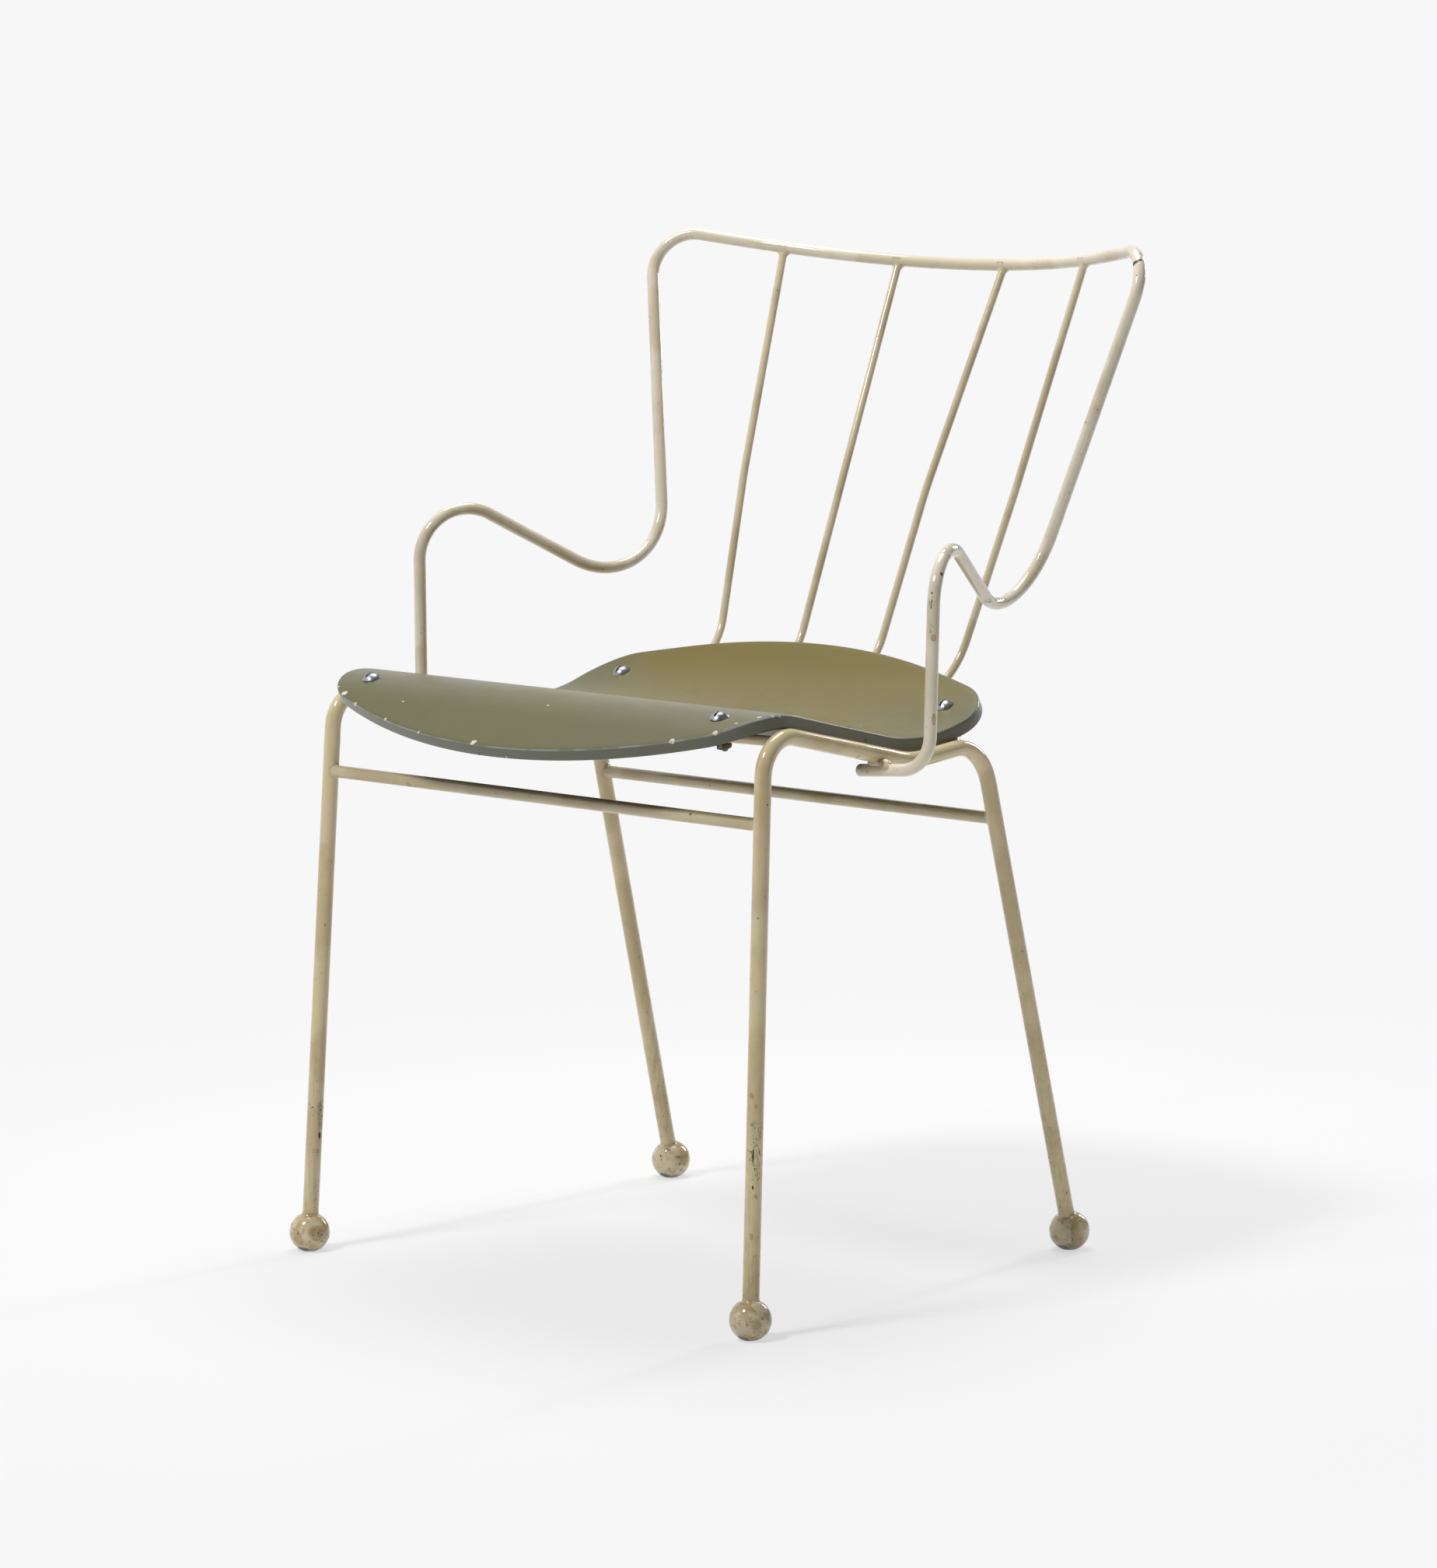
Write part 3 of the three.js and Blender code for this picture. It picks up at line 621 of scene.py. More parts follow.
@dataclass(frozen=True)
class SideFrames:
    """The two bent side frames: front leg, side rail and rear leg in one rod."""

    def build(self, material: bpy.types.Material) -> None:
        """Builds both rods.

        Args:
            material: The legs' enamel.
        """
        for side in Side:
            rod = SIZES.side_rod(side).build(f"leg_rod_{side.word}")
            install(rod, material, f"side_frame_{side.word}")


@dataclass(frozen=True)
class Stretchers:
    """The straight rods between the front legs and between the rear legs."""

    radius: float = 5.0
    front_drop: float = 70.5
    rear_drop: float = 62.5
    weld: WeldFillet = WeldFillet(2.6)

    def build(self, material: bpy.types.Material) -> None:
        """Builds both stretchers and their welds.

        Args:
            material: Their enamel.
        """
        for row, drop in ((Row.FRONT, self.front_drop), (Row.REAR, self.rear_drop)):
            shoulder, foot = SIZES.shoulder(row), SIZES.foot(row)
            end = shoulder + (foot - shoulder) * drop / (shoulder[2] - foot[2])
            rod = BentRod(np.stack([end * side.flip for side, _ in ROD_ENDS]), (), self.radius)
            legs = [Bar(rod.points[station], SIZES.leg_direction(row) * side.flip, SIZES.leg_radius)
                    for side, station in ROD_ENDS]
            build_across(f"stretcher_{row.value}", rod, legs, self.weld, material)


# Seat and fittings


@dataclass(frozen=True)
class MouldedSeat:
    """The moulded plywood seat, with a ridge at the front and a dip behind it.

    Its underside is one side profile, two arcs and three straights, carried straight
    across. Its outline from above is five arcs a side, each running into the next.
    """

    thickness: float = 11.1
    ridge_y: float = -146.5
    ridge_radius: float = 83.0
    ridge_settle: float = 0.8
    dip_y: float = 35.0
    dip_radius: float = 180.0
    dip_settle: float = 1.7
    front_pitch: float = math.radians(30)
    tail_pitch: float = math.radians(37)
    clearance: float = 0.3
    front_y: float = -224.5
    rear_y: float = 159.0
    waist_half_width: float = 212.5
    waist_y: float = 65.0
    front_edge_radius: float = 575.0
    rear_edge_radius: float = 660.0
    side_edge_radius: float = 1240.0
    front_corner_radius: float = 49.0
    rear_corner_radius: float = 46.0
    arris: float = 1.6
    fan_centre_y: float = -30.0
    fan_rings: int = 60
    edge_rings: int = 3
    outline_step: float = 3.0

    def levels(self) -> tuple[float, float, float]:
        """Heights of the ridge's and dip's centres, and the pitch between them.

        The ridge is lined up with the crest of the front bends and the dip with the
        crest of the rear bends, and each settles a little between the side rails. The
        straight between touches one circle from above and the other from below, which
        gives its pitch.

        Returns:
            The two heights and the pitch in radians.
        """
        rod = SIZES.side_rod(Side.LEFT)
        y = rod.points[:, 1] - SIZES.origin_shift
        front = rod.points[(y >= SIZES.front_y) & (y <= SIZES.sag_y)]
        rear = rod.points[(y >= SIZES.sag_y) & (y <= SIZES.rear_y)]
        rise = SIZES.leg_radius + self.clearance
        ridge = front[:, 2].max() + rise - self.ridge_settle - self.ridge_radius
        crest = rear[rear[:, 2].argmax()]
        off = crest[1] - SIZES.origin_shift - self.dip_y
        dip = crest[2] + rise - self.dip_settle + math.sqrt(self.dip_radius**2 - off**2)
        across, up = self.dip_y - self.ridge_y, dip - ridge
        span = math.hypot(across, up)
        pitch = math.asin((self.ridge_radius + self.dip_radius) / span) - math.atan2(up, across)
        return ridge, dip, pitch

    def underside(self, y: Array) -> tuple[Array, Array]:
        """Height and pitch of the underside.

        Args:
            y: Places from front to rear, measured as the sizes are.

        Returns:
            The heights, and the pitches in radians, positive where it rises.
        """
        ridge, dip, slope = self.levels()
        starts = [
            self.ridge_y - self.ridge_radius * math.sin(self.front_pitch),
            self.ridge_y + self.ridge_radius * math.sin(slope),
            self.dip_y - self.dip_radius * math.sin(slope),
            self.dip_y + self.dip_radius * math.sin(self.tail_pitch),
        ]
        on_ridge = np.arcsin(np.clip((self.ridge_y - y) / self.ridge_radius, -1, 1))
        on_dip = np.arcsin(np.clip((y - self.dip_y) / self.dip_radius, -1, 1))
        zone = np.searchsorted(starts, y)
        pitch = np.choose(
            zone,
            [np.full_like(y, self.front_pitch), on_ridge, np.full_like(y, -slope), on_dip,
             np.full_like(y, self.tail_pitch)],
        )
        front_z = ridge + self.ridge_radius * math.cos(self.front_pitch)
        middle_z = ridge + self.ridge_radius * math.cos(slope)
        tail_z = dip - self.dip_radius * math.cos(self.tail_pitch)
        height = np.choose(
            zone,
            [front_z + (y - starts[0]) * math.tan(self.front_pitch),
             ridge + self.ridge_radius * np.cos(on_ridge),
             middle_z - (y - starts[1]) * math.tan(slope),
             dip - self.dip_radius * np.cos(on_dip),
             tail_z + (y - starts[3]) * math.tan(self.tail_pitch)],
        )
        return height, pitch

    def on_seat(self, x: Array, y: Array, height: Array) -> Array:
        """Points a height above the underside, measured square to it.

        Args:
            x: Places across the seat.
            y: Places from front to rear.
            height: Heights above the underside.

        Returns:
            The points in the row frame.
        """
        z, pitch = self.underside(y)
        return np.stack(
            [x, y - height * np.sin(pitch) + SIZES.origin_shift, z + height * np.cos(pitch)], -1
        )

    def outline(self) -> tuple[Array, Array]:
        """The outline from above, and the unit directions that point out of it.

        Each corner's circle touches the front or rear bow from inside and the side's
        circle from outside, so its centre is where two circles cross.

        Returns:
            Points round the seat and their outward directions, both n x 2.
        """
        front = np.array([0.0, self.front_y + self.front_edge_radius])
        rear = np.array([0.0, self.rear_y - self.rear_edge_radius])
        side = np.array([self.waist_half_width + self.side_edge_radius, self.waist_y])

        def crossing(c: Array, r: float, d: Array, q: float) -> Array:
            """Where two circles cross.

            Args:
                c: The first circle's centre.
                r: Its radius.
                d: The second circle's centre.
                q: Its radius.

            Returns:
                The crossing on the left, going from the first to the second.
            """
            span = np.linalg.norm(d - c)
            run = (d - c) / span
            reach = (span**2 + r**2 - q**2) / (2 * span)
            return c + run * reach + np.array([-run[1], run[0]]) * math.sqrt(r**2 - reach**2)

        def arc(c: Array, r: float, a: Array, b: Array, sign: float) -> tuple[Array, Array]:
            """Points of an arc, which is centre + radius (cos a, sin a).

            Args:
                c: The centre.
                r: The radius.
                a: The direction that it starts in.
                b: The direction that it ends in.
                sign: 1 where the seat lies inside the arc, -1 where it lies outside.

            Returns:
                The points after the first, and their outward directions.
            """
            start, end = math.atan2(a[1], a[0]), math.atan2(b[1], b[0])
            turn = (end - start + math.pi) % FULL_TURN - math.pi
            steps = max(2, round(abs(turn) * r / self.outline_step))
            angles = start + turn * np.arange(1, steps + 1)[:, None] / steps
            rim = np.hstack([np.cos(angles), np.sin(angles)])
            return c + rim * r, rim * sign

        low = crossing(side, self.side_edge_radius + self.front_corner_radius, front,
                       self.front_edge_radius - self.front_corner_radius)
        high = crossing(rear, self.rear_edge_radius - self.rear_corner_radius, side,
                        self.side_edge_radius + self.rear_corner_radius)
        down = np.array([0.0, -1.0])
        arcs = [
            arc(front, self.front_edge_radius, down, low - front, 1),
            arc(low, self.front_corner_radius, low - front, side - low, 1),
            arc(side, self.side_edge_radius, low - side, high - side, -1),
            arc(high, self.rear_corner_radius, side - high, high - rear, 1),
            arc(rear, self.rear_edge_radius, high - rear, -down, 1),
        ]
        points, outward = (np.vstack([a[n] for a in arcs]) for n in range(2))
        flip = np.array([-1.0, 1.0])
        middle = np.array([[0.0, self.front_y]])
        return (
            np.vstack([middle, points, points[-2::-1] * flip]),
            np.vstack([down[None], outward, outward[-2::-1] * flip]),
        )

    def build(self, material: bpy.types.Material) -> None:
        """Builds the seat as one closed skin.

        Rings run from the middle of the underside out to the edge, round its two
        arrises and back to the middle of the top. A ring inside the edge is the
        outline shrunk towards the middle by a share. The attribute "face" is 2 on the
        underside, 1 on the edge and 0 on the top.

        Args:
            material: The seat's paint.
        """
        outline, outward = self.outline()
        centre = np.array([0.0, self.fan_centre_y])
        r, t = self.arris, self.thickness
        out, up = 1 - np.sin(BEND), 1 - np.cos(BEND)
        wall = np.linspace(r, t - r, self.edge_rings + 2)[1:-1]
        inset = np.concatenate([r * out, 0 * wall, r * up])
        height = np.concatenate([r * up, wall, t - r * out])
        shares = np.linspace(0, 1, self.fan_rings + 2)[1:-1]
        inner = outline - outward * r
        fill = centre + (inner - centre) * shares[:, None, None]
        edge = outline - outward * inset[:, None, None]
        plan = np.concatenate([fill[::2], edge, fill[::-1]])
        heights = np.concatenate([np.zeros(len(fill[::2])), height, np.full(len(fill), t)])
        face = np.concatenate(
            [np.full(len(fill[::2]), 2.0), 2 - up, np.ones(len(wall)), out, np.zeros(len(fill))]
        )
        grid = np.broadcast_to(heights[:, None], plan.shape[:2])
        rings = self.on_seat(plan[..., 0], plan[..., 1], grid)
        middle = np.array([self.fan_centre_y])
        poles = [self.on_seat(np.zeros(1), middle, np.array([h]))[0] for h in (0.0, t)]
        piece = closed_mesh("seat_board", rings, (poles[0], poles[1]))
        add_layer(piece, "face", np.concatenate([np.repeat(face, plan.shape[1]), [2, 0]]))
        install(piece, material, "seat", slot="seat_paint")


SEAT = MouldedSeat()


@dataclass(frozen=True)
class SeatBolt:
    """A domed slotted bolt through the seat and its rail, with a hexagonal nut."""

    row: Row
    side: Side
    turn: float
    half_spacing: float
    y: float
    shank_radius: float = 2.5
    head_radius: float = 7.5
    head_height: float = 4.4
    slot_width: float = 1.8
    slot_depth: float = 1.8
    grip: float = 8.6
    nut_flats: float = 11.0
    nut_height: float = 4.5
    overhang: float = 2.5
    pitch: float = 0.8
    thread_depth: float = 0.16
    tip_radius: float = 1.8
    rim_lift: float = 0.1
    rim_inset: float = 0.35
    head_steps: int = 14
    shank_rings: int = 140
    nut_sides: int = 72
    slot_points: int = 7
    half_points: int = 25
    slot_wall: Pair = (0.96, 1.03)
    sunk_share: float = 0.1
    neck: float = 0.4
    tip_length: float = 0.5
    nut_clearance: float = 0.3
    chamfer: tuple[Pair, ...] = ((0.0, 0.94), (0.3, 1.04), (0.9, 1.3))

    def placed(self, points: Array, height: float) -> Array:
        """Points of the bolt's own frame, whose Z is its axis, moved to the seat.

        Args:
            points: Points with the last axis x, y, z.
            height: How far above the seat's underside the frame's origin lies.

        Returns:
            The points in the row frame.
        """
        x, y = np.array([self.side.value * self.half_spacing]), np.array([self.y])
        origin = SEAT.on_seat(x, y, np.array([height]))[0]
        up = unit(SEAT.on_seat(x, y, np.array([height + 1.0]))[0] - origin)
        first = vec(1, 0, 0)
        second = np.cross(up, first)
        cos, sin = math.cos(self.turn), math.sin(self.turn)
        axes = np.stack([first * cos + second * sin, second * cos - first * sin, up])
        return origin + points @ axes

    def head_rings(self) -> tuple[Array, Array]:
        """Rings of the head from the slot's floor out to the rim.

        The dome is part of a sphere. A ring's points lie at angles a + b e, where e
        is the angle at which the ring crosses the slot's edge, so that some points
        always lie on that edge. Points in the slot drop to its floor.

        Returns:
            The rings in the bolt's own frame, and 1 for each point that is in the slot.
        """
        across, along = np.linspace(-1, 1, self.slot_points), np.linspace(0, 1, self.half_points)
        a = np.concatenate([0 * across, math.pi * along, math.pi + 0 * across, math.pi * (1 + along)])
        b = np.concatenate([across, 1 - 2 * along, across, 1 - 2 * along])
        in_slot = np.concatenate([across == across, along < 0, across == across, along < 0])
        half = self.slot_width / 2
        inside, outside = (half * share for share in self.slot_wall)
        radii = np.concatenate([[inside], np.linspace(outside, self.head_radius, self.head_steps)])
        edge = np.arcsin(half / np.maximum(radii, outside))[:, None]
        angles = a + b * edge
        sphere = (self.head_radius**2 + self.head_height**2) / (2 * self.head_height)
        drop = sphere - np.sqrt(sphere**2 - radii**2)
        dome = (self.head_height - drop)[:, None]
        floor = np.minimum(dome, self.head_height - self.slot_depth)
        z = np.where(in_slot, floor, dome)
        z[0] = self.head_height - self.slot_depth
        sunk = np.where(dome - z > self.slot_depth * self.sunk_share, 1.0, 0.0)
        return circle(radii[:, None], angles, z), sunk

    def build(self, zinc: bpy.types.Material, rusty: bpy.types.Material) -> None:
        """Builds the bolt and its nut.

        The bolt's skin goes from the middle of the slot over the head, under it and
        down the threaded shank, whose radius rises and falls along a helix. The nut's
        rings are hexagons cut back by a cone at both faces, given as heights and shares
        of its half width.

        Args:
            zinc: The bolt's finish.
            rusty: The nut's finish.
        """
        word = f"{self.row.value}_{self.side.word}"
        head, sunk = self.head_rings()
        a = round_angles(head.shape[1])
        seat, gap = SEAT.thickness, SEAT.clearance
        length = seat + gap + self.grip + self.nut_height + self.overhang
        rims = np.array([self.head_radius - self.rim_inset, self.shank_radius + self.rim_lift])
        z = np.linspace(-self.neck, -length + self.tip_length, self.shank_rings)[:, None]
        wave = self.thread_depth * np.cos(FULL_TURN * z / self.pitch - a)
        shank = circle(self.shank_radius - self.thread_depth + wave * (z < -seat), a, z)
        under = circle(rims[:, None], a, -self.rim_lift)
        tip = circle(self.tip_radius, a, -length)[None]
        rings = self.placed(np.concatenate([head, under, shank, tip]), seat + gap)
        axis = np.array([[0, 0, self.head_height - self.slot_depth], [0, 0, -length]])
        poles = self.placed(axis, seat + gap)
        bolt = closed_mesh(f"bolt_{word}", rings, (poles[0], poles[1]))
        below = np.zeros(rings[..., 0].size - sunk.size)
        # The slot layer marks where the zinc is painted black as painted shade in the slot
        add_layer(bolt, "slot", np.concatenate([sunk.ravel(), below, [1, 0]]))
        install(bolt, zinc, f"seat_bolt_{word}", slot="bolt_zinc")
        a = round_angles(self.nut_sides)
        half, top = self.nut_flats / 2, self.nut_height
        twelfth = FULL_TURN / 12
        hexagon = half / np.cos((a + twelfth) % (2 * twelfth) - twelfth)
        bore = self.shank_radius + self.nut_clearance
        limits = [(0.0, bore), *((h, half * k) for h, k in self.chamfer),
                  *((top - h, half * k) for h, k in self.chamfer[::-1]), (top, bore)]
        rows = [circle(np.minimum(hexagon, r), a, h) for h, r in limits]
        nut = closed_mesh(f"nut_{word}", self.placed(np.stack(rows), -self.grip - top), None)
        install(nut, rusty, f"seat_nut_{word}", slot="nut_steel")


@dataclass(frozen=True)
class SeatRails:
    """The two rods under the seat that the bolts pass through."""

    radius: float = 4.0
    crank: float = 8.0
    front_x: float = 189.5
    rear_x: float = 177.0
    front_y: float = -166.0
    rear_y: float = 106.5
    front_weld: Pair = (-150.0, 0.5)
    rear_weld: Pair = (70.0, 3.0)
    weld: WeldFillet = WeldFillet(1.6)
    half_turns: tuple[tuple[Row, Side, float], ...] = (
        (Row.FRONT, Side.LEFT, 0.54), (Row.REAR, Side.LEFT, 0.52),
        (Row.FRONT, Side.RIGHT, 0.449), (Row.REAR, Side.RIGHT, 0.487),
    )

    def rod(self, row: Row) -> BentRod:
        """A rail: straight under its two bolts, and cranked in to the side rails.

        Args:
            row: Which rail.

        Returns:
            The rod.
        """
        front = row is Row.FRONT
        x, y = (self.front_x, self.front_y) if front else (self.rear_x, self.rear_y)
        weld_y, drop = self.front_weld if front else self.rear_weld
        end = SIZES.side_rod(Side.LEFT).crossing(1, weld_y + SIZES.origin_shift)
        end = end - vec(SIZES.leg_radius / 2, 0, drop)
        knee = SEAT.on_seat(
            np.array([x + self.crank]), np.array([y]), np.array([-self.radius - SEAT.clearance])
        )[0]
        corners = np.stack([end * Side.RIGHT.flip, knee * Side.RIGHT.flip, knee, end])
        return BentRod(corners, (self.crank, self.crank), self.radius, sides=THIN_SIDES)

    def build(self, enamel: bpy.types.Material, zinc: bpy.types.Material,
              rusty: bpy.types.Material) -> None:
        """Builds the rails, their welds and the bolts through them.

        Args:
            enamel: The rails' enamel.
            zinc: The bolts' finish.
            rusty: The nuts' finish.
        """
        for row in Row:
            rod = self.rod(row)
            bars = [SIZES.side_rod(side).bar_near(rod.points[station]) for side, station in ROD_ENDS]
            build_across(f"seat_rail_{row.value}", rod, bars, self.weld, enamel)
        for row, side, turn in self.half_turns:
            x, y = (self.front_x, self.front_y) if row is Row.FRONT else (self.rear_x, self.rear_y)
            SeatBolt(row, side, turn * math.pi, x, y).build(zinc, rusty)


@dataclass(frozen=True)
class BackSpindles:
    """The four thin rods from the top rail down to the rear seat rail."""

    radius: float = 3.25
    heel_reach: float = 62.5
    heel_rise: float = 33.0
    heel_radius: float = 62.0
    knee_radius: float = 320.0
    knee_share: float = 0.43
    outer: Triple = (164.0, 130.5, 3.0)
    inner: Triple = (57.5, 43.0, -3.0)
    outer_forward: float = 1.0
    inner_forward: float = 3.5
    top_weld: WeldFillet = WeldFillet(4.6, 0.62, 0.06)
    foot_weld: WeldFillet = WeldFillet(0.7)

    def build(self, back: ArmAndBack, rails: SeatRails, enamel: bpy.types.Material) -> None:
        """Builds the four spindles and their welds.

        Args:
            back: The rod that they hang from.
            rails: The rails whose rear one they end on.
            enamel: Their enamel.
        """
        top_rail, rear_rail = back.top_rail(), rails.rod(Row.REAR)
        kinds = (("outer", self.outer, self.outer_forward), ("inner", self.inner, self.inner_forward))
        for side in Side:
            for word, (top_x, foot_x, shift), forward in kinds:
                top = top_rail.crossing(0, side.value * top_x)
                foot = rear_rail.crossing(0, side.value * foot_x)
                heel = foot + vec(0, self.heel_reach, self.heel_rise)
                knee = heel + (top - heel) * self.knee_share + vec(side.value * shift, -forward, 0)
                rod = BentRod(np.stack([foot, heel, knee, top]), (self.heel_radius, self.knee_radius),
                              self.radius, sides=THIN_SIDES)
                ends = rear_rail.bar_near(foot), top_rail.bar_near(top)
                name = f"spindle_{word}_{side.word}"
                install(rod.build(f"{name}_rod", *ends), enamel, name)
                welds = (("top", -1, ends[1], self.top_weld), ("foot", 0, ends[0], self.foot_weld))
                for end, station, bar, weld in welds:
                    install(weld.build(f"{name}_weld_{end}", rod, station, bar), enamel)


@dataclass(frozen=True)
class BallFeet:
    """The ball feet, flattened where they stand, with the legs set into them."""

    radius: float = 16.25
    socket: float = 3.0
    clearance: float = 0.12
    collar: float = 2.4
    rows: int = 40
    collar_rows: int = 5
    columns: int = 64
    smear: Triple = (0.10, -0.62, -0.78)
    smear_reach: Triple = (8.0, 8.0, 4.5)

    def build(self, material: bpy.types.Material) -> None:
        """Builds the four feet.

        Each is a profile turned about its leg's line: up the ball, in along a hollow
        collar to the leg, and down into the socket. What would lie below the floor is
        raised to it, which makes the flat.

        Args:
            material: The feet's enamel.
        """
        bore = SIZES.leg_radius + self.clearance
        rim = bore + self.collar
        top = math.asin(rim / self.radius)
        ball = np.linspace(math.pi, top, self.rows)[1:]
        s = np.linspace(0, 1, self.collar_rows + 1)[1:]
        rim_height = math.sqrt(self.radius**2 - rim**2)
        out = np.concatenate([self.radius * np.sin(ball), rim + (bore - rim) * (1 - (1 - s) ** 2),
                              [bore, bore]])
        up = np.concatenate([self.radius * np.cos(ball), rim_height + self.collar * s**2,
                             [rim_height, self.socket]])
        a = round_angles(self.columns)
        for side in Side:
            for row in Row:
                axis = SIZES.leg_direction(row) * side.flip
                first = unit(np.cross(axis, vec(0, 1, 0)))
                second = np.cross(axis, first)
                round_leg = np.cos(a)[:, None] * first + np.sin(a)[:, None] * second
                centre = SIZES.foot(row) * side.flip
                rings = centre + out[:, None, None] * round_leg + up[:, None, None] * axis
                rings[..., 2] = np.maximum(rings[..., 2], 0)
                base, floor = centre - axis * self.radius, centre + axis * self.socket
                base[2] = max(base[2], 0)
                piece = closed_mesh(f"foot_{row.value}_{side.word}", rings, (base, floor))
                install(piece, material, f"ball_foot_{row.value}_{side.word}", slot="foot_enamel")


# Finishes, whose places and heights are in metres unless they say millimetres


def paint(red: int, green: int, blue: int) -> Quad:
    """A colour as a screen shows it, changed to the light that it stands for.

    Args:
        red: The red, 0 to 255.
        green: The green.
        blue: The blue.

    Returns:
        The linear colour, 0 to 1, and full opacity.
    """
    parts = (c / 255 for c in (red, green, blue))
    linear = (c / 12.92 if c <= 0.04045 else ((c + 0.055) / 1.055) ** 2.4 for c in parts)
    return (*linear, 1.0)


@dataclass(frozen=True)
class Field:
    """A value that varies over a surface, with the signs of arithmetic and | for the larger."""

    finish: "Finish"
    socket: Socket

    def __add__(self, other: "Value") -> "Field":
        """The sum."""
        return self.finish.maths("ADD", self, other)

    def __sub__(self, other: "Value") -> "Field":
        """The difference."""
        return self.finish.maths("SUBTRACT", self, other)

    def __rsub__(self, other: float) -> "Field":
        """A number less this."""
        return self.finish.maths("SUBTRACT", other, self)

    def __mul__(self, other: "Value") -> "Field":
        """The product."""
        return self.finish.maths("MULTIPLY", self, other)

    def __or__(self, other: "Value") -> "Field":
        """The larger of two."""
        return self.finish.maths("MAXIMUM", self, other)

    def band(self, low: float, high: float) -> "Field":
        """A smooth step, from 0 where the value is low to 1 where it is high."""
        inputs = {"Value": self, "From Min": low, "From Max": high}
        return self.finish.field("MapRange", inputs, "Result", interpolation_type="SMOOTHSTEP")


Value = Field | float | tuple


@dataclass(frozen=True)
class Grain:
    """Noise of one size, whose blotches are about 1/scale metres across."""

    scale: float
    detail: float
    warp: float = 0.0
    stretch: Triple | None = None


@dataclass(frozen=True)
class Cloud:
    """A noise, the two of its values between which a mark fades in, and its strength."""

    grain: Grain
    low: float
    high: float
    strength: float = 1.0


@dataclass(frozen=True)
class Ragged:
    """How much of a noise is added to a zone, between which limits it fades in, how strongly."""

    share: float
    low: float
    high: float
    strength: float = 1.0

    def edge(self, noise: Field, zone: Value) -> Field:
        """The zone with a ragged edge: the strength inside it, 0 outside."""
        return (noise * self.share + zone).band(self.low, self.high) * self.strength


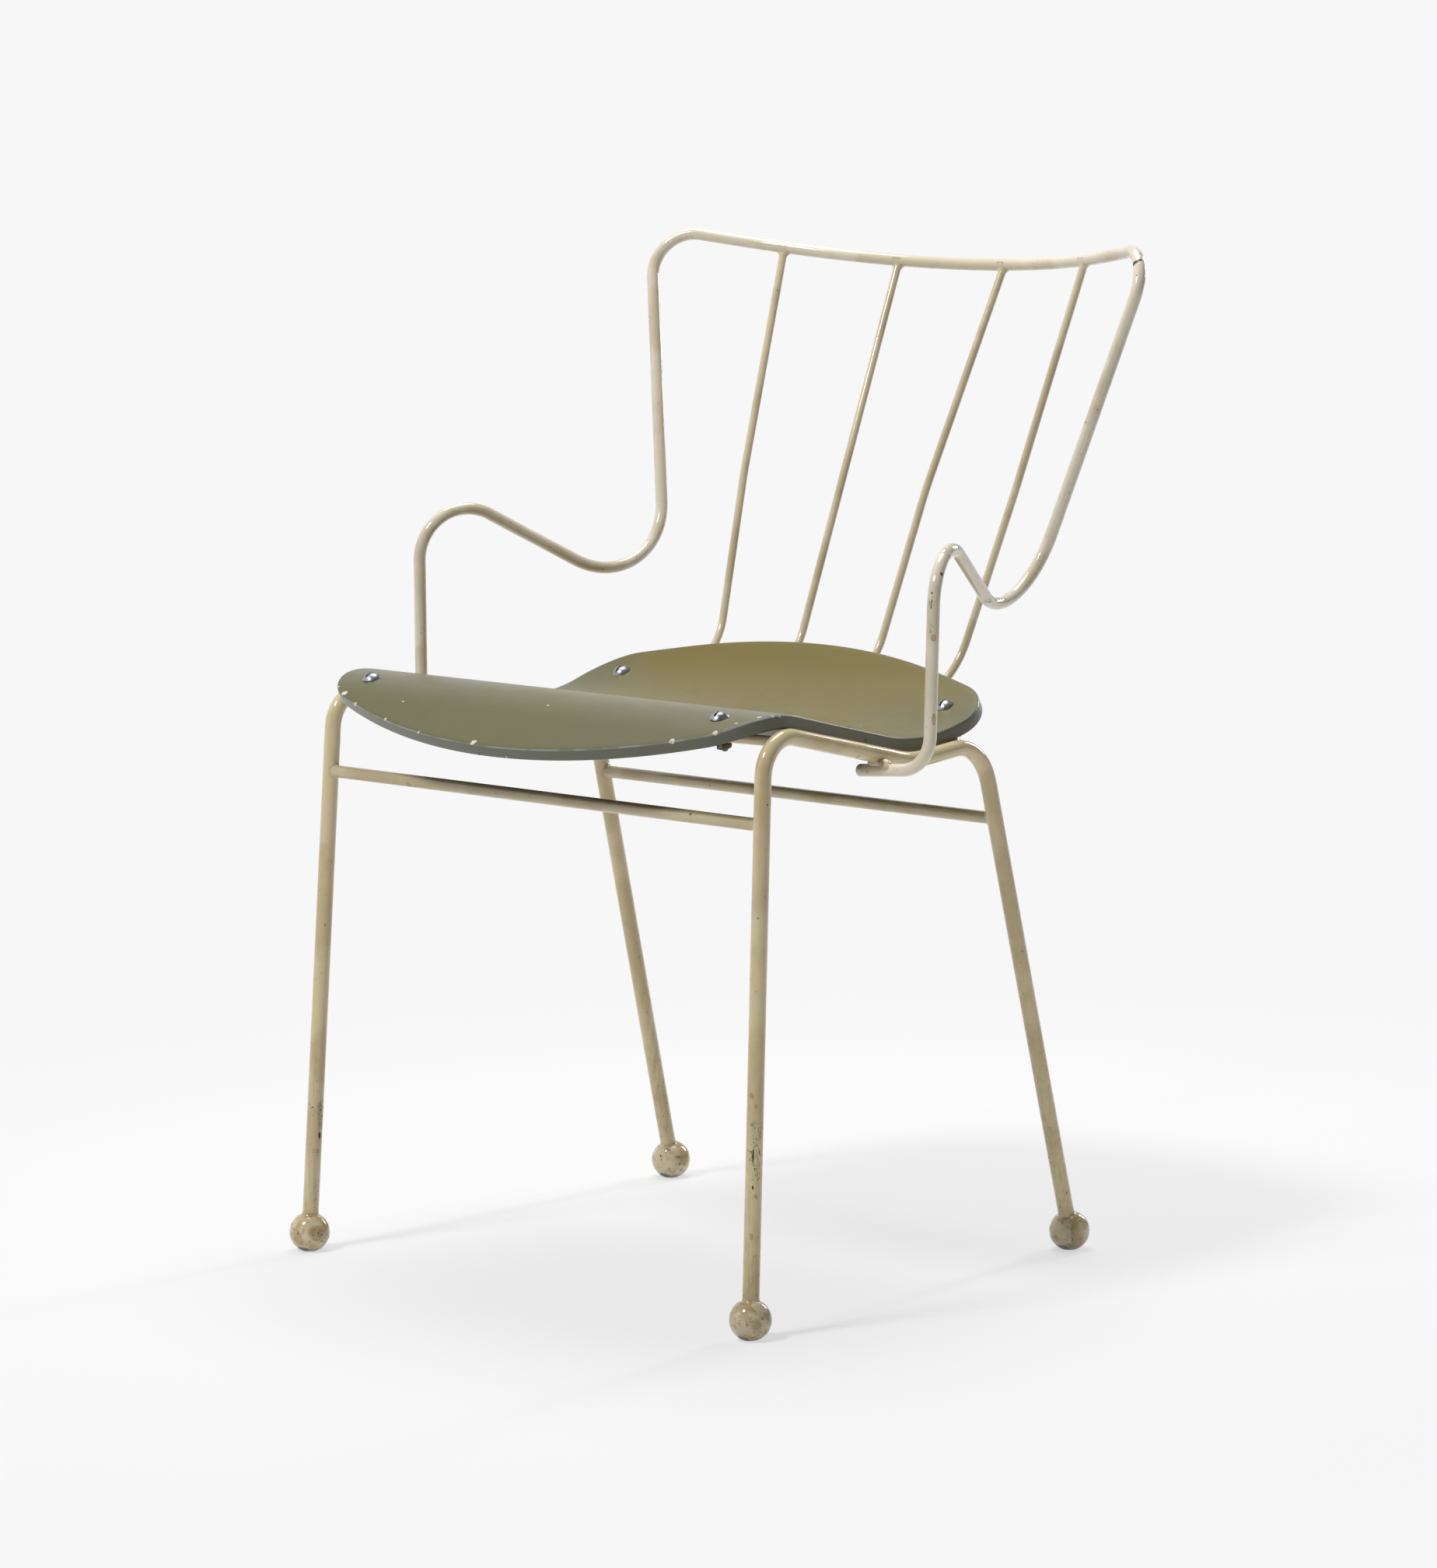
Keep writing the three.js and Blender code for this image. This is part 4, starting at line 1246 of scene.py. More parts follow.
class Finish:
    """One material's shader nodes, added and linked in short calls."""

    def __init__(self, name: str) -> None:
        """Starts an empty material.

        Args:
            name: The material's name.
        """
        self.material = bpy.data.materials.new(name)
        self.material.use_nodes = True
        self.begin(self.material.node_tree)

    def begin(self, tree: bpy.types.NodeTree) -> None:
        """Clears a node tree, and takes places from the object's coordinates.

        Args:
            tree: The tree.
        """
        self.tree = tree
        tree.nodes.clear()
        self.place = self.field("TexCoord", {}, "Object")
        self.facing = self.field("TexCoord", {}, "Normal")

    @classmethod
    def on(cls, tree: bpy.types.NodeTree) -> "Finish":
        """A finish on a tree that is there already.

        Args:
            tree: The tree, such as the world's.

        Returns:
            The finish.
        """
        finish = cls.__new__(cls)
        finish.begin(tree)
        return finish

    def node(self, kind: str, inputs: dict, **settings: str) -> bpy.types.Node:
        """Adds a node.

        Args:
            kind: The node's type, without ShaderNode.
            inputs: A field or socket to link, or a value to set, by input name or number.
            settings: The node's own settings.

        Returns:
            The node.
        """
        node = self.tree.nodes.new(f"ShaderNode{kind}")
        for key, value in settings.items():
            setattr(node, key, value)
        for key, value in inputs.items():
            if isinstance(value, Field):
                value = value.socket
            if isinstance(value, bpy.types.NodeSocket):
                self.tree.links.new(node.inputs[key], value)
            else:
                node.inputs[key].default_value = value
        return node

    def field(self, kind: str, inputs: dict, output: str | int = 0, **settings: str) -> Field:
        """One output of a new node."""
        return Field(self, self.node(kind, inputs, **settings).outputs[output])

    def maths(self, operation: str, a: Value, b: Value) -> Field:
        """The sum, product or other operation of two numbers."""
        return self.field("Math", {0: a, 1: b}, operation=operation)

    def vector(self, operation: str, a: Value, b: Value) -> Field:
        """An operation on two vectors that gives a vector."""
        return self.field("VectorMath", {0: a, 1: b}, "Vector", operation=operation)

    def length(self, v: Field) -> Field:
        """The length of a vector."""
        return self.field("VectorMath", {0: v}, "Value", operation="LENGTH")

    def part(self, v: Field, axis: int) -> Field:
        """The x, y or z of a vector: the place's z is the height above the floor."""
        return self.field("SeparateXYZ", {0: v}, axis)

    def layer(self, name: str) -> Field:
        """A value that the mesh stores at its vertices."""
        return self.field("Attribute", {}, "Fac", attribute_name=name)

    def blend(self, share: Value, a: Value, b: Value) -> Field:
        """A colour between two, all of the second where the share is 1."""
        return self.field("Mix", {0: share, 6: a, 7: b}, 2, data_type="RGBA")

    def stretched(self, *factors: float) -> Field:
        """The object's coordinates, each multiplied by a number."""
        return self.vector("MULTIPLY", self.place, factors)

    def noise(self, g: Grain) -> Field:
        """Cloudy noise from 0 to 1.

        Args:
            g: Its size, detail, warp and stretch.

        Returns:
            The noise.
        """
        place = self.stretched(*g.stretch) if g.stretch else self.place
        inputs = {"Vector": place, "Scale": g.scale, "Detail": g.detail, "Distortion": g.warp}
        return self.field("TexNoise", inputs, "Fac")

    def cloud(self, c: Cloud) -> Field:
        """A cloud over the surface, from 0 to its strength."""
        return self.noise(c.grain).band(c.low, c.high) * c.strength

    def near(self, at: Triple, reach: Triple) -> Field:
        """How near the surface is to a place: 1 there, fading to 0 at the reach.

        Args:
            at: The place, in millimetres.
            reach: How far the zone goes in x, y and z, in millimetres.

        Returns:
            The zone's strength.
        """
        off = self.vector("SUBTRACT", self.place, tuple(c * MM for c in at))
        share = self.vector("DIVIDE", off, tuple(c * MM for c in reach))
        return self.length(share).band(1.0, CORE)

    def strongest(self, zones: list[Field]) -> Value:
        """The largest of several zones.

        Args:
            zones: The zones.

        Returns:
            The largest, or 0 where there are none.
        """
        found: Value = 0.0
        for zone in zones:
            found = zone | found
        return found

    def contour(self, g: Grain, width: Pair) -> Field:
        """Thin wandering lines: 1 where a noise is close to its middle value."""
        return self.maths("ABSOLUTE", self.noise(g) - 0.5, 0.0).band(*width)

    def bump(self, height: Field, depth: float) -> Field:
        """A normal from a height field, where a height of 1 stands for a depth in metres."""
        return self.field("Bump", {"Height": height, "Distance": depth, "Strength": 1.0})

    def close(self, **inputs: Value) -> bpy.types.Material:
        """Ends the material in a Principled shader.

        Args:
            inputs: Its sockets, named with _ for a space.

        Returns:
            The material.
        """
        named = {key.replace("_", " "): value for key, value in inputs.items()}
        self.node("OutputMaterial", {"Surface": self.field("BsdfPrincipled", named)})
        return self.material


@dataclass(frozen=True)
class Spot:
    """A worn place, measured off the photographed chair."""

    kind: Wear
    at: Triple
    reach: Triple


@dataclass(frozen=True)
class Enamel:
    """Old gloss enamel: yellowed, speckled, flaked where it has been knocked."""

    name: str
    tone: Quad = paint(212, 196, 152)
    deep_tone: Quad = paint(197, 178, 134)
    steel: Quad = paint(30, 22, 17)
    rust: Quad = paint(160, 108, 30)
    primer: Quad = paint(96, 30, 26)
    grime: Quad = paint(112, 98, 68)
    soot: Quad = paint(36, 34, 32)
    # painted shade and painted reflection: the dark brown laid on upward-facing tops under the seat
    top_shade_tone: Quad = paint(84, 66, 42)
    roughness: float = 0.06
    unevenness: float = 0.07
    soil_matt: float = 0.3
    worn_matt: float = 0.4
    glaze: float = 0.35
    relief: float = 0.00004
    worn_depth: float = 1.8
    streaks: float = 0.22
    scuffs: float = 0.055
    specks: float = 0.025
    soiling: float = 0.20
    soiled_below: float = 0.30
    soiled_all: float = 0.02
    floor_lining: float = 0.8
    staining: float = 0.8
    bareness: float = 0.97
    # painted shade: how strongly tops under the seat are darkened, and where and how steeply they
    # face up
    painted_top_shade: float = 0.0
    top_shade_slope: Pair = (0.45, 0.88)
    top_shade_reach: Pair = (-0.17, 0.02)
    floor_line: Pair = (0.0036, 0.0012)
    spots: tuple[Spot, ...] = ()
    patches: Cloud = Cloud(Grain(14.0, 5.0, 0.6), 0.43, 0.58)
    soil: Cloud = Cloud(Grain(38.0, 4.0), 0.35, 0.75)
    runs: Cloud = Cloud(Grain(1.0, 3.0, 0.0, (460.0, 460.0, 16.0)), 0.48, 0.66)
    mottle: Cloud = Cloud(Grain(160.0, 4.0), 0.52, 0.72)
    mottling: Pair = (0.04, 0.12)
    top_shade_cloud: Cloud = Cloud(Grain(26.0, 3.0), 0.25, 0.50)
    clusters: Grain = Grain(210.0, 2.0)
    clustered: Pair = (0.69, 0.73)
    scratching: float = 0.30
    scribbles: Grain = Grain(1.0, 2.0, 0.8, (520.0, 520.0, 230.0))
    scribble_width: Pair = (0.035, 0.014)
    fine: Grain = Grain(760.0, 1.0)
    specked: Pair = (0.79, 0.82)
    specks_by_scratches: float = 0.05
    torn: Grain = Grain(1300.0, 4.0, 0.4)
    ragged: Grain = Grain(520.0, 3.0)
    smeared: Grain = Grain(420.0, 4.0)
    uneven: Grain = Grain(45.0, 3.0)
    ripple: Grain = Grain(150.0, 2.0)
    flake: Ragged = Ragged(1.5, 0.60, 0.68)
    flake_rim: Ragged = Ragged(1.5, 0.42, 0.60, 0.5)
    red_speck: Ragged = Ragged(1.5, 0.58, 0.68)
    pit: Ragged = Ragged(0.4, 0.25, 0.40)
    pit_floor: Ragged = Ragged(0.4, 0.62, 0.80)
    stain: Ragged = Ragged(1.7, 1.28, 1.42)
    stain_core: Ragged = Ragged(1.7, 1.50, 1.75, 0.35)
    smudge: Ragged = Ragged(1.1, 0.85, 1.25, 0.85)

    def zones(self, f: Finish, kind: Wear) -> Value:
        """The worn places of one kind, as a zone."""
        return f.strongest([f.near(s.at, s.reach) for s in self.spots if s.kind is kind])

    def ground(self, f: Finish, low: Field) -> tuple[Field, Field]:
        """The paint where nothing has hit it.

        Patches shade one tone into the other. Long noise, squeezed across the rods,
        streaks the lower legs, and height adds soiling with a dark line at the floor.
        Painted shade and a painted reflection of the seat's dark underside darken the paint where the
        surface faces up, over part of the width.

        Args:
            f: The material's nodes.
            low: 1 near the floor, fading to 0 up the legs.

        Returns:
            The colour, and how soiled it is.
        """
        colour = f.blend(f.cloud(self.patches), self.tone, self.deep_tone)
        soil = low * f.cloud(self.soil) * self.soiling
        colour = f.blend(soil, colour, self.grime)
        colour = f.blend(f.cloud(self.runs) * low * self.streaks, colour, self.grime)
        least, more = self.mottling
        colour = f.blend(f.cloud(self.mottle) * (low * more + least), colour, self.grime)
        # Painted shade and painted reflection: upward-facing tops from x = -0.17 m on, where the seat
        # hangs over them, are darkened
        if self.painted_top_shade:
            up = f.part(f.facing, 2).band(*self.top_shade_slope)
            up = up * f.part(f.place, 0).band(*self.top_shade_reach) * f.cloud(self.top_shade_cloud)
            colour = f.blend(up * self.painted_top_shade, colour, self.top_shade_tone)
        line = f.part(f.place, 2).band(*self.floor_line) * self.floor_lining
        return f.blend(line, colour, self.grime), soil

    def knocks(self, f: Finish, low: Field, torn: Field, flaked: Value) -> Value:
        """Where dark steel shows.

        A flake is where ragged noise plus a zone passes a limit. A scribble is a thin
        contour line of one noise, kept where a broader noise plus a zone is high, and
        specks and the rings round pits are added.

        Args:
            f: The material's nodes.
            low: 1 near the floor, fading to 0 up the legs.
            torn: Fine noise about 0.
            flaked: The flakes' zone.

        Returns:
            1 on the steel, 0 on the paint.
        """
        scratched = low * self.scuffs + self.zones(f, Wear.SCRATCH) * self.scratching
        scratched = (f.noise(self.clusters) + scratched).band(*self.clustered)
        scribble = f.contour(self.scribbles, self.scribble_width) * scratched
        speck = f.noise(self.fine) + low * self.specks + scratched * self.specks_by_scratches
        speck = speck.band(*self.specked)
        pitted = self.zones(f, Wear.PIT)
        ring = self.pit.edge(torn, pitted) - self.pit_floor.edge(torn, pitted)
        return f.strongest([self.flake.edge(torn, flaked), scribble, speck, ring])

    def build(self) -> bpy.types.Material:
        """The material.

        Returns:
            The material.
        """
        f = Finish(self.name)
        low = f.part(f.place, 2).band(self.soiled_below, self.soiled_all)
        torn = f.noise(self.torn) - 0.5
        colour, soil = self.ground(f, low)
        stained, cloudy = self.zones(f, Wear.STAIN), f.noise(self.ragged)
        ring = self.stain.edge(cloudy, stained) - self.stain_core.edge(cloudy, stained)
        colour = f.blend(ring * self.staining, colour, self.rust)
        flaked = self.zones(f, Wear.FLAKE)
        colour = f.blend(self.flake_rim.edge(torn, flaked), colour, self.rust)
        smear = self.smudge.edge(f.noise(self.smeared), self.zones(f, Wear.SMUDGE))
        colour = f.blend(smear, colour, self.soot)
        dark = self.knocks(f, low, torn, flaked)
        colour = f.blend(dark * self.bareness, colour, self.steel)
        red = self.red_speck.edge(torn, self.zones(f, Wear.RED))
        colour = f.blend(red, colour, self.primer)
        worn = dark | red
        rough = f.noise(self.uneven) * self.unevenness + self.roughness + soil * self.soil_matt
        rough = rough + (worn | smear) * self.worn_matt
        return f.close(
            Base_Color=colour, Roughness=rough, IOR=1.5, Coat_Roughness=0.03,
            Normal=f.bump(f.noise(self.ripple) - worn * self.worn_depth, self.relief),
            Coat_Weight=(1.0 - worn) * self.glaze,
        )


@dataclass(frozen=True)
class SeatPaint:
    """Satin olive paint on the ply: yellowed in the middle, chipped along the edge."""

    green: Quad = paint(92, 88, 47)
    yellow: Quad = paint(108, 95, 26)
    edge: Quad = paint(101, 102, 86)
    # partly the underside's own darker paint, partly painted shade for the shadow beneath the seat
    under: Quad = paint(62, 54, 40)
    chip: Quad = paint(224, 214, 196)
    wood: Quad = paint(176, 148, 114)
    # partly rubbed paint, partly a painted highlight along the upper arris
    rub_and_glint_tone: Quad = paint(148, 154, 152)
    dirt: Quad = paint(72, 66, 46)
    yellow_centre: Triple = (0.0, 0.015, 0.44)
    yellow_reach: Triple = (0.24, 0.27, 1.0)
    yellowed: Pair = (-0.35, 0.35)
    streaks: Grain = Grain(1.0, 3.0, 0.0, (5.0, 22.0, 22.0))
    drift: Grain = Grain(7.0, 3.0)
    underneath: Pair = (1.2, 1.8)
    arris_starts: Pair = (0.05, 0.3)
    arris_ends: Pair = (0.95, 0.6)
    rub_and_glint_front: Pair = (-0.12, -0.21)
    rub_and_glint_share: Pair = (0.2, 0.7)
    mottle: Cloud = Cloud(Grain(300.0, 4.0), 0.45, 0.72, 0.09)
    blotches: Cloud = Cloud(Grain(34.0, 4.0), 0.58, 0.74, 0.10)
    rub_and_glint_cloud: Cloud = Cloud(Grain(60.0, 4.0), 0.35, 0.60, 0.6)
    specks: Cloud = Cloud(Grain(420.0, 2.0), 0.765, 0.78, 0.5)
    scratches: Cloud = Cloud(Grain(1.0, 3.0, 0.5, (70.0, 1300.0, 500.0)), 0.745, 0.77, 0.22)
    torn: Grain = Grain(800.0, 5.0, 0.3)
    brushed: Grain = Grain(330.0, 3.0)
    swell: Grain = Grain(26.0, 2.0)
    uneven: Grain = Grain(60.0, 4.0)
    heights: Triple = (0.55, 0.6, 1.8)
    relief: float = 0.0001
    roughness: float = 0.28
    unevenness: float = 0.14
    worn_matt: float = 0.35
    chipped: Ragged = Ragged(1.9, 0.55, 0.62)
    chip_rim: Ragged = Ragged(1.9, 0.38, 0.54, 0.6)
    chip_core: Ragged = Ragged(1.9, 0.95, 1.25)
    dented: Ragged = Ragged(1.9, 0.55, 0.70)
    chips: tuple[Quad, ...] = ()
    dents: tuple[Quad, ...] = ()

    def zones(self, f: Finish, places: tuple[Quad, ...]) -> Value:
        """Chips or dents as a zone, from rows of x, y, z and size."""
        return f.strongest([f.near(row[:3], row[3:] * 3) for row in places])

    def top(self, f: Finish) -> Field:
        """The paint of the top, without its knocks.

        The tone goes from green at the margins to yellow in the middle by an
        ellipse's distance, broken up by noise.

        Args:
            f: The material's nodes.

        Returns:
            The colour.
        """
        off = f.vector("SUBTRACT", f.place, self.yellow_centre)
        away = f.length(f.vector("DIVIDE", off, self.yellow_reach))
        middle = f.noise(self.drift) + f.noise(self.streaks) * 0.5 - away
        colour = f.blend(middle.band(*self.yellowed), self.green, self.yellow)
        colour = f.blend(f.cloud(self.mottle), colour, self.dirt)
        return f.blend(f.cloud(self.blotches), colour, self.dirt)

    def build(self) -> bpy.types.Material:
        """The material.

        The attribute "face" is 0 on the top, 1 on the edge and 2 underneath. Chips are
        zones with a ragged edge, wood in their middle and a dark line round them. The
        underside is dark brown, partly its own paint and partly painted shade for the
        shadow beneath the seat. The upper arris is painted pale, partly rubbed paint and
        partly a painted highlight, most of all at the front.

        Returns:
            The material.
        """
        f = Finish("olive_seat_paint")
        face = f.layer("face")
        below = face.band(*self.underneath)
        colour = f.blend(f.maths("MINIMUM", face, 1.0), self.top(f), self.edge)
        # Painted shade: the underside is laid dark brown, partly its own paint and partly the shadow
        # beneath the seat
        colour = f.blend(below, colour, self.under)
        # Painted highlight and rubbed paint: a pale line along the upper arris, strongest at the
        # front
        arris = face.band(*self.arris_starts) * face.band(*self.arris_ends)
        least, more = self.rub_and_glint_share
        front = f.part(f.place, 1).band(*self.rub_and_glint_front) * more + least
        rubbed = arris * (f.cloud(self.rub_and_glint_cloud) + (1 - self.rub_and_glint_cloud.strength)) * front
        colour = f.blend(rubbed, colour, self.rub_and_glint_tone)
        colour = f.blend(f.cloud(self.specks), colour, self.dirt)
        colour = f.blend(f.cloud(self.scratches), colour, self.chip)
        torn = f.noise(self.torn) - 0.5
        chips = self.zones(f, self.chips)
        pale = self.chipped.edge(torn, chips)
        bare = self.dented.edge(torn, self.zones(f, self.dents))
        colour = f.blend(bare, colour, self.dirt)
        colour = f.blend(self.chip_rim.edge(torn, chips), colour, self.dirt)
        inside = f.blend(self.chip_core.edge(torn, chips), self.chip, self.wood)
        colour = f.blend(pale, colour, inside)
        worn = pale | bare
        brushed, swell, depth = self.heights
        height = f.noise(self.brushed) * brushed + f.noise(self.swell) * swell - worn * depth
        rough = f.noise(self.uneven) * self.unevenness + self.roughness
        rough = rough + (worn | below) * self.worn_matt
        return f.close(
            Base_Color=colour, Roughness=rough, Normal=f.bump(height, self.relief), IOR=1.42,
            Sheen_Weight=0.25, Sheen_Roughness=0.30,
        )


@dataclass(frozen=True)
class PlatedSteel:
    """Zinc plate on steel, bright where it is rubbed and dark where it has gone."""

    name: str
    bright: Quad
    dull: Quad
    rust: Quad
    rusting: float
    roughness: float
    # painted shade: the colour of a bolt's slot
    black: Quad = paint(30, 27, 24)
    dulling: Cloud = Cloud(Grain(240.0, 4.0), 0.4, 0.65)
    pitting: Grain = Grain(700.0, 4.0)
    scratches: Grain = Grain(1.0, 3.0, 0.0, (2600.0, 500.0, 700.0))
    rusted: Pair = (0.66, 0.76)
    slot_shade_band: Pair = (0.3, 0.8)
    heights: Pair = (0.5, 0.8)
    relief: float = 0.00004
    unevenness: float = 0.16
    rust_matt: float = 0.4
    rust_cover: float = 0.85

    def build(self) -> bpy.types.Material:
        """The material: two tones by noise, rust spots above a limit, fine scratches.

        The attribute "slot" is 1 in a bolt's slot, where the plate is painted black as painted shade
        in the recess.

        Returns:
            The material.
        """
        f = Finish(self.name)
        colour = f.blend(f.cloud(self.dulling), self.bright, self.dull)
        spots = (f.noise(self.pitting) + self.rusting).band(*self.rusted)
        colour = f.blend(spots, colour, self.rust)
        # Painted shade: the slot is painted black, standing for the shade in the recess
        sunk = f.layer("slot").band(*self.slot_shade_band)
        colour = f.blend(sunk, colour, self.black)
        spots = spots | sunk
        lines = f.noise(self.scratches)
        scratch, scab = self.heights
        return f.close(
            Base_Color=colour, Metallic=1.0 - spots * self.rust_cover,
            Roughness=lines * self.unevenness + self.roughness + spots * self.rust_matt,
            Normal=f.bump(lines * scratch + spots * scab, self.relief),
        )


# Studio


@dataclass(frozen=True)
class Lamp:
    """A soft oval lamp aimed at the chair."""

    name: str
    azimuth: float
    elevation: float
    distance: float
    size: Pair
    power: float

    def build(self, target: Array) -> None:
        """Hangs the lamp.

        Args:
            target: The point that it faces, in metres.
        """
        data = bpy.data.lights.new(self.name, "AREA")
        data.shape = "ELLIPSE"
        data.size, data.size_y = self.size
        data.energy = self.power
        lamp = bpy.data.objects.new(self.name, data)
        back = direction(self.azimuth, self.elevation)
        lamp.location = target + back * self.distance
        right = unit(np.cross(UP, back))
        lamp.rotation_euler = rotation(np.stack([right, np.cross(back, right), back])).to_euler()
        bpy.context.scene.collection.objects.link(lamp)


def direction(azimuth: float, elevation: float) -> Array:
    """The unit direction at an azimuth from -Y towards +X and a height, both in degrees."""
    az, el = math.radians(azimuth), math.radians(elevation)
    return vec(math.sin(az) * math.cos(el), -math.cos(az) * math.cos(el), math.sin(el))


def rotation(axes: Array) -> Matrix:
    """A rotation whose local x, y and z are the three rows given."""
    return Matrix(axes.T.tolist())


@dataclass(frozen=True)
class Studio:
    """The pale floor and surround, the lamps and the camera."""

    backdrop: Quad = paint(247, 247, 248)
    floor_tone: Quad = paint(246, 246, 246)
    white: Quad = paint(255, 255, 255)
    sky: float = 0.16
    pale_side: Triple = (-0.99, -0.12, 0.0)
    pale_band: Pair = (-0.15, 0.60)
    dim_share: float = 0.22
    lit_radius: Pair = (0.5, 1.25)
    floor_radii: tuple[float, ...] = (0.4, 1.0, 2.0, 5.0, 14.0)
    floor_sides: int = 96
    floor_depth: float = 20.0
    floor_glow: float = 0.64
    target: Triple = (0.0, 0.0, 0.4)
    azimuth: float = 43.428
    elevation: float = 8.1757
    roll: float = -0.7057
    distance: float = 5.08704
    shift: Pair = (0.01596, 0.374887)
    lens: float = 145.524
    sensor: float = 36.0
    sees_to: float = 100.0
    lamps: tuple[Lamp, ...] = (
        Lamp("key_lamp", -12.0, 50.0, 5.0, (0.95, 0.95), 137.0),
        Lamp("top_lamp", 226.0, 74.0, 2.2, (1.5, 1.5), 33.0),
        Lamp("strip_lamp", 181.6, 17.0, 3.0, (0.35, 1.2), 30.0),
    )

    def seen(self, f: Finish) -> Field:
        """1 for a ray that shows the surround: from the camera, a gloss or a glass."""
        rays = ("Is Camera Ray", "Is Glossy Ray", "Is Transmission Ray")
        return f.strongest([f.field("LightPath", {}, ray) for ray in rays])

    def surround(self) -> None:
        """Lights the scene evenly and shows a pale backdrop."""
        world = bpy.data.worlds.new("studio")
        bpy.context.scene.world = world
        world.use_nodes = True
        f = Finish.on(world.node_tree)
        sides = {0: f.place, 1: self.pale_side}
        towards = f.field("VectorMath", sides, "Value", operation="DOT_PRODUCT")
        pale = towards.band(*self.pale_band) * (1 - self.dim_share) + self.dim_share
        pale = pale | f.field("LightPath", {}, "Is Camera Ray")
        light = f.field("Background", {0: self.white, 1: self.sky})
        shown = f.field("Background", {0: self.backdrop, 1: pale})
        f.node("OutputWorld", {0: f.field("MixShader", {0: self.seen(f), 1: light, 2: shown})})

    def floor(self) -> None:
        """A round floor that takes the shadow near the chair and fades to the backdrop.

        Its points are radius (cos a, sin a), and its glow keeps the shadow pale.
        """
        top = circle(np.array(self.floor_radii)[:, None], round_angles(self.floor_sides), 0.0) / MM
        below = vec(0, 0, -self.floor_depth)
        rings = np.concatenate([top, top[-1:] + below])
        piece = closed_mesh("studio_floor", rings, (vec(0, 0, 0), below))
        f = Finish("studio_floor")
        far = f.length(f.stretched(1.0, 1.0, 0.0)).band(*self.lit_radius)
        matt = f.field("BsdfDiffuse", {0: self.floor_tone})
        glow = f.field("Emission", {0: self.backdrop, 1: 1.0})
        share = (far * (1 - self.floor_glow) + self.floor_glow) * self.seen(f)
        f.node("OutputMaterial", {"Surface": f.field("MixShader", {0: share, 1: matt, 2: glow})})
        piece.data.materials.append(f.material)

    def camera(self) -> None:
        """Puts the camera where the photograph was taken from.

        It looks from an azimuth and elevation, rolled a little, and stands at a
        distance along its own axis from a point shifted right and up.
        """
        az, roll = math.radians(self.azimuth), math.radians(self.roll)
        back = direction(self.azimuth, self.elevation)
        right = vec(math.cos(az), math.sin(az), 0)
        up = np.cross(back, right)
        cos, sin = math.cos(roll), math.sin(roll)
        right, up = right * cos + up * sin, up * cos - right * sin
        data = bpy.data.cameras.new("photo_camera")
        data.lens, data.sensor_width, data.clip_end = self.lens, self.sensor, self.sees_to
        camera = bpy.data.objects.new("photo_camera", data)
        place = back * self.distance + right * self.shift[0] + up * self.shift[1]
        camera.location = place + vec(0, SIZES.origin_shift * MM, 0)
        camera.rotation_euler = rotation(np.stack([right, up, back])).to_euler()
        bpy.context.scene.collection.objects.link(camera)
        bpy.context.scene.camera = camera

    def build(self) -> None:
        """Builds the floor, surround, lamps and camera."""
        self.surround()
        self.floor()
        for lamp in self.lamps:
            lamp.build(vec(*self.target))
        self.camera()
        bpy.context.scene.view_settings.view_transform = "Standard"


# Worn places, in millimetres, where the photograph shows them


def spots(kind: Wear, *rows: tuple[float, ...]) -> tuple[Spot, ...]:
    """Worn places of one kind, from rows of a place and a reach, each x, y and z."""
    return tuple(Spot(kind, row[:3], row[3:]) for row in rows)


ARM_SPOTS = (
    *spots(
        Wear.FLAKE,
        (255.4, 194.8, 786.8, 3.6, 3.6, 3.0), (257.2, 195.6, 788.2, 3.4, 3.4, 2.6),
        (259.1, 197.3, 789.8, 2.8, 2.8, 1.9), (262.8, 188.6, 778.0, 1.2, 1.2, 1.2),
        (281.6, -67.4, 571.0, 1.5, 1.5, 2.4),
    ),
    *spots(
        Wear.SCRATCH,
        (273.5, -51.6, 582.3, 6.0, 9.0, 10.0), (281.0, -78.4, 545.4, 3.0, 3.0, 9.0),
        (281.4, -79.1, 527.1, 3.0, 3.0, 6.0), (228.7, 50.5, 533.0, 8.0, 9.0, 6.0),
        (219.4, 72.0, 531.0, 7.0, 6.0, 5.0),
    ),
    *spots(
        Wear.RED,
        (281.4, -66.6, 566.6, 2.0, 2.0, 2.6), (280.9, -76.9, 553.3, 1.4, 1.4, 1.4),
    ),
    *spots(
        Wear.STAIN,
        (283.0, -78.0, 519.4, 3.4, 3.4, 4.0), (282.7, -77.8, 457.0, 2.4, 2.4, 7.0),
        (239.3, -83.7, 417.1, 4.0, 4.0, 4.0), (233.0, -84.0, 420.3, 4.0, 4.0, 3.0),
    ),
    *spots(
        Wear.PIT,
        (213.3, -85.2, 415.2, 1.8, 1.8, 1.8), (216.4, -85.9, 412.5, 1.3, 1.3, 1.3),
        (221.0, -85.6, 412.3, 1.8, 1.8, 1.8),
    ),
)

